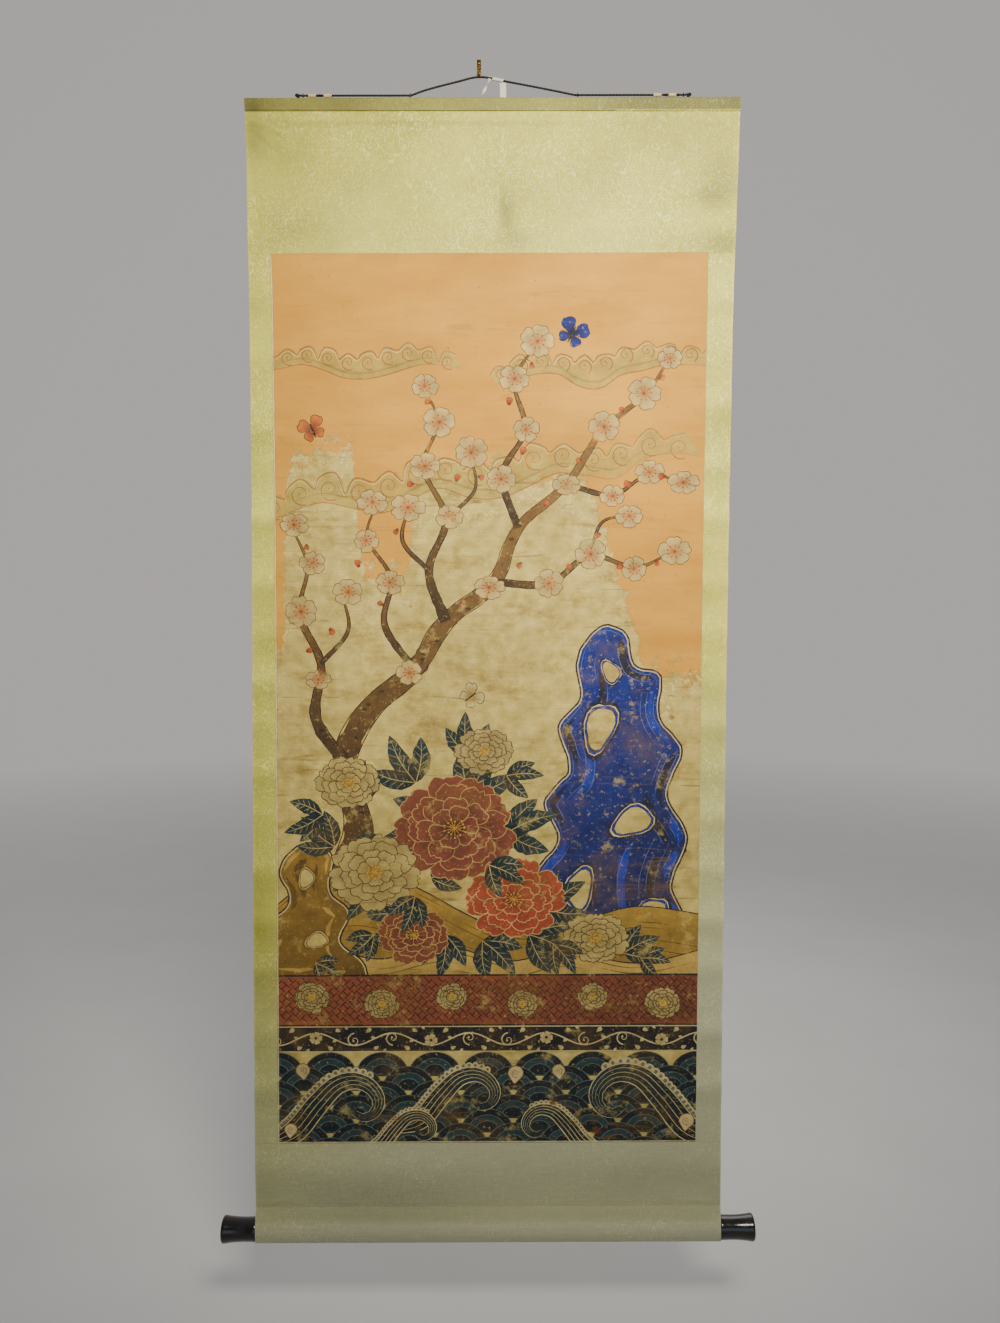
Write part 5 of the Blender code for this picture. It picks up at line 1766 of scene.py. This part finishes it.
def visible_layers(art):
    """Cuts all shapes at once: corners, faces, and each face's looks from the top one down."""
    corners = [Vector(point) for point in art.points]
    verts, _, faces, _, _, under = delaunay_2d_cdt(corners, [], art.shapes, 1, 1e-3, True)
    spots = [tuple(v) for v in verts]
    bodies = [look[4] for look in art.looks]
    reaches = []
    for shape in art.shapes:
        across, down = zip(*(art.points[k] for k in shape))
        reaches.append((min(across) - 0.01, min(down) - 0.01, max(across) + 0.01, max(down) + 0.01))
    kept, layers = [], []
    for face, ids in zip(faces, under):
        if 0 not in ids:
            continue
        x = sum(spots[k][0] for k in face) / len(face)
        y = sum(spots[k][1] for k in face) / len(face)
        found = []
        for shape in sorted(ids, reverse=True):
            low_x, low_y, high_x, high_y = reaches[shape]
            look = art.shape_looks[shape]
            if low_x <= x <= high_x and low_y <= y <= high_y and look not in found:
                found.append(look)
                if bodies[look] in (0.0, 1.0):
                    break
        kept.append(face)
        layers.append(tuple(found))
    return spots, kept, layers


def thinned(lines, spots):
    """The same lines without the corners that hardly turn."""
    beside_it = {}
    for a, b in lines:
        beside_it.setdefault(a, set()).add(b)
        beside_it.setdefault(b, set()).add(a)
    for k in sorted(beside_it):
        if len(beside_it[k]) != 2:
            continue
        a, b = beside_it[k]
        (ax, ay), (bx, by), (x, y) = spots[a], spots[b], spots[k]
        length = math.hypot(bx - ax, by - ay)
        on_frame = min(x, y, WIDE - x, TALL - y) < 0.01
        if on_frame or b in beside_it[a] or not 0 < length < LONGEST_SIDE:
            continue
        if abs((bx - ax) * (y - ay) - (by - ay) * (x - ax)) / length < HARDLY_TURNS:
            beside_it[a].remove(k)
            beside_it[b].remove(k)
            beside_it[a].add(b)
            beside_it[b].add(a)
            del beside_it[k]
    return [(a, b) for a, found in beside_it.items() for b in found if a < b]


def sheet_triangles(points, lines):
    """Triangles over the whole sheet, without the empty ones along its edges."""
    verts, _, faces = delaunay_2d_cdt(points, lines, [], 0, 1e-3, False)[:3]
    spots = np.array([tuple(v) for v in verts])
    at_edge = np.stack((spots[:, 0], spots[:, 1], WIDE - spots[:, 0], TALL - spots[:, 1]), axis=1) < 0.01
    return spots, [tuple(face) for face in faces if not at_edge[face].all(axis=0).any()]


def cut_again(spots, faces, layers, grid):
    """A lighter cut, with corners only where the looks change and on the grid."""
    sides = {}
    for face, found in zip(faces, layers):
        for a, b in zip(face, (*face[1:], face[0])):
            sides.setdefault((min(a, b), max(a, b)), []).append(found)
    lines = thinned([side for side, found in sides.items() if len(found) == 1 or found[0] != found[1]], spots)
    used = sorted({k for line in lines for k in line})
    number = {k: i for i, k in enumerate(used)}
    points = [Vector(spots[k]) for k in used] + [Vector(p) for p in grid]
    short_lines = []
    for a, b in lines:
        start, stop = Vector(spots[a]), Vector(spots[b])
        pieces = math.ceil((stop - start).length / LONGEST_SIDE)
        chain = [number[a], *range(len(points), len(points) + pieces - 1), number[b]]
        points += [start.lerp(stop, i / pieces) for i in range(1, pieces)]
        short_lines += zip(chain, chain[1:])
    places, lighter = sheet_triangles(points, short_lines)
    lookup = BVHTree.FromPolygons([(x, y, 0.0) for x, y in spots], faces)
    middles = places[np.array(lighter)].mean(axis=1)
    found = [layers[lookup.find_nearest((x, y, 0.0))[2]] for x, y in middles]
    return places, lighter, found


def mixed_colours(at, layers):
    """The colour and the body of paint at each corner, the layers mixed as they lie over each other."""
    looks = list(sheet_art.looks)
    first, second, start, stop = (np.array([look[k] for look in looks], float) for k in range(4))
    bodies = np.array([look[4] for look in looks])
    deepest = max(map(len, layers))
    stack = np.array([found + (-1,) * (deepest - len(found)) for found in layers])
    colour = np.zeros((len(at), 3))
    bare = np.ones(len(at))
    for look in stack.T:
        way = stop[look] - start[look]
        share = np.clip(((at - start[look]) * way).sum(axis=1) / (way * way).sum(axis=1), 0, 1)[:, None]
        cover = np.where(look >= 0, bare * bodies[look], 0.0)
        colour += cover[:, None] * (first[look] + (second[look] - first[look]) * share)
        bare -= cover
    body = 1.0 - bare
    return colour / np.maximum(body, 1e-6)[:, None], body


def even_grid(across, down):
    """Points in staggered rows over the sheet, clear of its edges, so that it can follow the ripples."""
    places = [(i, j) for j in range(1, down) for i in range(1, across)]
    return [(WIDE * (i + 0.5 * (j % 2) - 0.25) / across, TALL * j / down) for i, j in places]


def painted_sheet():
    """The painting and its lined back: one cut of all shapes in front, a plain grid behind, and a rim."""
    across, down = GRID_ACROSS, EDGE_POINTS_DOWN
    frame_line = [(WIDE * i / across, 0.0) for i in range(across)]
    frame_line += [(WIDE, TALL * i / down) for i in range(down)]
    frame_line += [(WIDE * (1 - i / across), TALL) for i in range(across)]
    frame_line += [(0.0, TALL * (1 - i / down)) for i in range(down)]
    sheet_art.lay(frame_line, AGED, 0.0)
    paint_scroll()
    spots, front, layers = cut_again(*visible_layers(sheet_art), even_grid(across, FRONT_ROWS))
    sides = [side for face in front for side in zip(face, (*face[1:], face[0]))]
    inner = set(sides)
    rim = ring_of([(a, b) for a, b in sides if (b, a) not in inner])
    edge = [Vector(spots[k]) for k in rim]
    around = list(range(len(rim)))
    ring_lines = list(zip(around, around[1:] + around[:1]))
    inside = [Vector(p) for p in even_grid(across, BACK_ROWS)]
    back_spots, back = sheet_triangles(edge + inside, ring_lines)
    total = len(spots)
    nearest = [int(np.argmin(((back_spots - np.array(v)) ** 2).sum(axis=1))) for v in edge]
    corners = [tuple(reversed(face)) for face in front] + [tuple(total + k for k in face) for face in back]
    for i in around:
        a, b = rim[i], rim[i - len(rim) + 1]
        corners.append((a, b, total + nearest[i - len(rim) + 1], total + nearest[i]))
    flat = np.vstack((spots, back_spots))
    drop = PAINTING_TOP + GAP / 2 + (PAINTING_BOTTOM - PAINTING_TOP - GAP) * flat[:, 1] / TALL
    left = outline_at(drop, "left_seam") + GAP / 2
    right = outline_at(drop, "right_seam") - GAP / 2
    x = left + (right - left) * flat[:, 0] / WIDE
    depth = flat_depth(x, drop) - CLOTH / 2
    depth[total:] += CLOTH
    made = piece_from("painting", np.stack((x, depth, height_at(x, drop)), axis=1), corners)
    at = flat[[k for face in corners for k in face]]
    before = 3 * len(front)
    colour = np.ones((len(at), 4))
    body = np.zeros(len(at))
    colour[:before, :3], body[:before] = mixed_colours(
        at[:before], [found for found in layers for _ in range(3)]
    )
    reach = np.interp(at[:, 0], *np.array(PEACH_REACHES, float).T)
    aged = np.clip(0.5 + (at[:, 1] - reach) / PEACH_FADES_OVER, 0.0, 1.6)
    mark = np.ones(len(corners), np.float32)
    mark[: len(front)] = 0.0
    paint = made.data.color_attributes.new("paint", "FLOAT_COLOR", "CORNER")
    paint.data.foreach_set("color", colour.astype(np.float32).ravel())
    numbers_on(made, "body", "FLOAT", "CORNER", body)
    numbers_on(made, "aged", "FLOAT", "CORNER", aged)
    numbers_on(made, "lining", "FLOAT", "FACE", mark)
    flat_map(made, at / 1000)
    smooth_shaded(made, 40)
    return dress(made, PAINTED_LOOK, "painted_paper", "painted_sheet")


painting = painted_sheet()


# ---- Hardware ----
def select_faces(made, test):
    """In edit mode, selects only the faces that the test holds for."""
    bm = bmesh.from_edit_mesh(made.data)
    for group in (bm.verts, bm.edges, bm.faces):
        for one in group:
            one.select = False
    for face in bm.faces:
        if test(face):
            face.select = True
    bm.select_flush_mode()
    bmesh.update_edit_mesh(made.data)


def place_in_mesh(made):
    """Moves the piece's place, turn and scale into its mesh."""
    make_active(made)
    bpy.ops.object.transform_apply(location=True, rotation=True, scale=True)


def close_up():
    """Merges what lies together, turns the faces outwards and leaves edit mode."""
    bpy.ops.mesh.select_all(action="SELECT")
    bpy.ops.mesh.remove_doubles(threshold=1e-6)
    bpy.ops.mesh.normals_make_consistent(inside=False)
    bpy.ops.object.mode_set(mode="OBJECT")


def eased_edges(made, width):
    bevel = made.modifiers.new("eased", "BEVEL")
    bevel.width = width
    bevel.segments = 3
    bevel.limit_method = "ANGLE"
    bevel.angle_limit = math.radians(60)
    apply_modifiers(made)


def lathe_turned(name, profile, sides, frame_matrix):
    """A disc drawn out along +Z and widened or narrowed at each row of along, radius."""
    deselect()
    along, radius = profile[0]
    bpy.ops.mesh.primitive_circle_add(vertices=sides, radius=radius, fill_type="NGON", location=(0, 0, along))
    made = bpy.context.object
    made.name = made.data.name = name
    place_in_mesh(made)
    bpy.ops.object.mode_set(mode="EDIT")
    bpy.ops.mesh.select_all(action="SELECT")
    for (was, old), (now, new) in zip(profile, profile[1:]):
        bpy.ops.mesh.extrude_region_move(TRANSFORM_OT_translate={"value": (0, 0, now - was)})
        bpy.ops.transform.resize(value=(new / old, new / old, 1.0), center_override=(0, 0, now))
    close_up()
    made.matrix_world = frame_matrix
    place_in_mesh(made)
    return made


def roller_knob(name, x, side, node_name):
    """Turned lacquered wood: a slight waist, a flared rim and a domed end."""
    alongs = np.concatenate((np.linspace(0.0, 0.0495, 22), np.linspace(0.0502, KNOB_LENGTH - 0.0001, 18)))
    fine = smooth_route(KNOB_PROFILE, 0.0004)
    profile = [(a, float(np.interp(a, fine[:, 0], fine[:, 1]))) for a in alongs]
    profile = [(0.0, 0.0174), (0.0006, 0.0180)] + profile[2:] + [(KNOB_LENGTH, 0.0030), (KNOB_LENGTH, 0.0004)]
    start = x + side * GAP
    seat = Matrix.Translation((start, ROLLER_Y, height_at(start, ROLLER_DROP)))
    lean = Matrix.Rotation(-math.atan(ROLLER_TILT), 4, "Y")
    outwards = Matrix.Rotation(math.radians(90 * side), 4, "Y")
    made = lathe_turned(name, profile, 72, seat @ lean @ outwards)
    smooth_shaded(made, 50)
    return dress(made, LACQUER_LOOK, "black_lacquer", node_name)


roller_knob("lacquered_end_left", ROLLER_LEFT, -1, "knob_left")
roller_knob("lacquered_end_right", ROLLER_RIGHT, 1, "knob_right")


def screw_eye(name, x):
    """A wire ring on a collared shank."""
    z = cord_z(x)
    deselect()
    bpy.ops.mesh.primitive_torus_add(
        major_segments=40,
        minor_segments=14,
        major_radius=EYELET_INNER + EYELET_WIRE,
        minor_radius=EYELET_WIRE,
        location=(x, CORD_Y, z),
        rotation=(0.0, math.radians(90), 0.0),
    )
    ring = bpy.context.object
    place_in_mesh(ring)
    under = CORD_ABOVE - EYELET_INNER - EYELET_WIRE
    profile = (
        (-0.0098, 0.0002), (-0.0085, 0.0007), (0.0002, 0.0007), (0.0003, 0.0013), (0.0006, 0.0014), (
            0.0009, 0.0013,
        ),
        (0.0011, 0.0007), (under - 0.0004, 0.0005), (under, 0.0004),
    )
    foot = Matrix.Translation((x, CORD_Y, height_at(x, 0.0)))
    shank = lathe_turned(name, profile, 20, foot)
    whole = joined(name.replace("eyelet", "screw_eye"), [ring, shank])
    smooth_shaded(whole, 45)
    return dress(whole, BRASS_LOOK, "brass", name)


for row in EYELETS:
    screw_eye(*row)


def strip_hook():
    """A bent brass strip: back plate, crook and front lip."""
    crook_y, crook_z = HOOK_CROOK
    deselect()
    bpy.ops.mesh.primitive_cube_add(size=1.0, location=(0.0, -HOOK_THICK / 2, (HOOK_TOP + crook_z) / 2))
    made = bpy.context.object
    made.name = made.data.name = "brass_strip_hook"
    made.scale = (HOOK_WIDTH, HOOK_THICK, HOOK_TOP - crook_z)
    place_in_mesh(made)
    bpy.ops.object.mode_set(mode="EDIT")
    select_faces(made, lambda face: face.normal.z < -0.9)
    bpy.ops.mesh.spin(steps=18, angle=-math.pi, center=(0.0, crook_y, crook_z), axis=(1.0, 0.0, 0.0))
    bpy.ops.mesh.extrude_region_move(
        TRANSFORM_OT_translate={"value": (0.0, -0.0008, HOOK_LIP_TOP - crook_z)}
    )
    close_up()
    eased_edges(made, 0.00022)
    smooth_shaded(made, 40)
    return dress(made, BRASS_LOOK, "brass", "wall_hook")


strip_hook()


def hook_nail():
    """A small domed nail."""
    head = HOOK_THICK + GAP
    profile = (
        (GAP, 0.0009), (head, 0.0009), (head + 0.0001, 0.0022), (head + 0.0003, NAIL_HEAD), (
            head + 0.0006, 0.0021
        ),
        (head + 0.0009, 0.0015), (head + 0.0011, 0.0008), (head + 0.00115, 0.0001),
    )
    turn = Matrix.Rotation(math.radians(90), 4, "X")
    made = lathe_turned("domed_nail", profile, 32, Matrix.Translation((0.0, 0.0, NAIL_Z)) @ turn)
    smooth_shaded(made, 50)
    return dress(made, BRASS_LOOK, "brass", "hook_nail")


hook_nail()

for name in ("top_stave", "roller_dowel"):
    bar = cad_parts[name]
    bar.data.materials.clear()
    bar.data.materials.append(WOOD_LOOK)


# ---- Floor and light ----
FLOOR_Z = -1.96
FLOOR_RADIUS = 7.0


def pale_floor():
    deselect()
    bpy.ops.mesh.primitive_circle_add(
        vertices=96, radius=FLOOR_RADIUS, fill_type="TRIFAN", location=(0.0, 0.0, FLOOR_Z)
    )
    made = bpy.context.object
    made.name = "pale_floor"
    material, tree, shader = new_material("pale_floor")
    place = own_coordinates(tree)
    out = node(tree, "VectorMath", {0: place}, operation="LENGTH").outputs["Value"]
    tree.links.new(ramp(tree, out, 2.2, 6.6, 1.0, 0.0), shader.inputs["Alpha"])
    tone = ramp(tree, cloudy(tree, place, 3.0, 3.0), 0.3, 0.7, 0.70, 0.74)
    tree.links.new(even_grey(tree, tone), shader.inputs["Base Color"])
    shader.inputs["Roughness"].default_value = 0.8
    made.data.materials.append(material)


pale_floor()


def soft_light(name, place, aim, size, power, colour, spread=180):
    lamp = bpy.data.lights.new(name, "AREA")
    lamp.shape = "RECTANGLE"
    lamp.size, lamp.size_y = size
    lamp.spread = math.radians(spread)
    lamp.energy = power
    lamp.color = colour
    made = bpy.data.objects.new(name, lamp)
    bpy.context.scene.collection.objects.link(made)
    made.location = place
    made.rotation_euler = (Vector(aim) - Vector(place)).to_track_quat("-Z", "Y").to_euler()


soft_light("key_from_above", (0.35, -1.6, 0.2), (0.16, 0.0, -0.50), (0.6, 0.4), 12.5, (1.0, 0.94, 0.78), 74)
soft_light("fill_from_front", (0.3, -2.6, -1.3), (0.0, 0.0, -1.1), (2.0, 1.2), 6.0, (0.72, 0.86, 1.0))
soft_light("rim_from_behind", (0.6, 1.8, 0.6), (0.0, 0.0, -0.9), (1.6, 1.6), 16.0, (1.0, 1.0, 1.0))

# A grey room, a little lighter behind the scroll than in front of it.
world = bpy.data.worlds.new("studio")
bpy.context.scene.world = world
world.use_nodes = True
sky = world.node_tree
toward = parts_of(sky, node(sky, "TexCoord").outputs["Generated"])[1]
behind = ramp(sky, toward, -1.0, 0.9)
sky.links.new(
    blend(sky, behind, (0.13, 0.135, 0.15), (0.47, 0.445, 0.425)), sky.nodes["Background"].inputs["Color"]
)
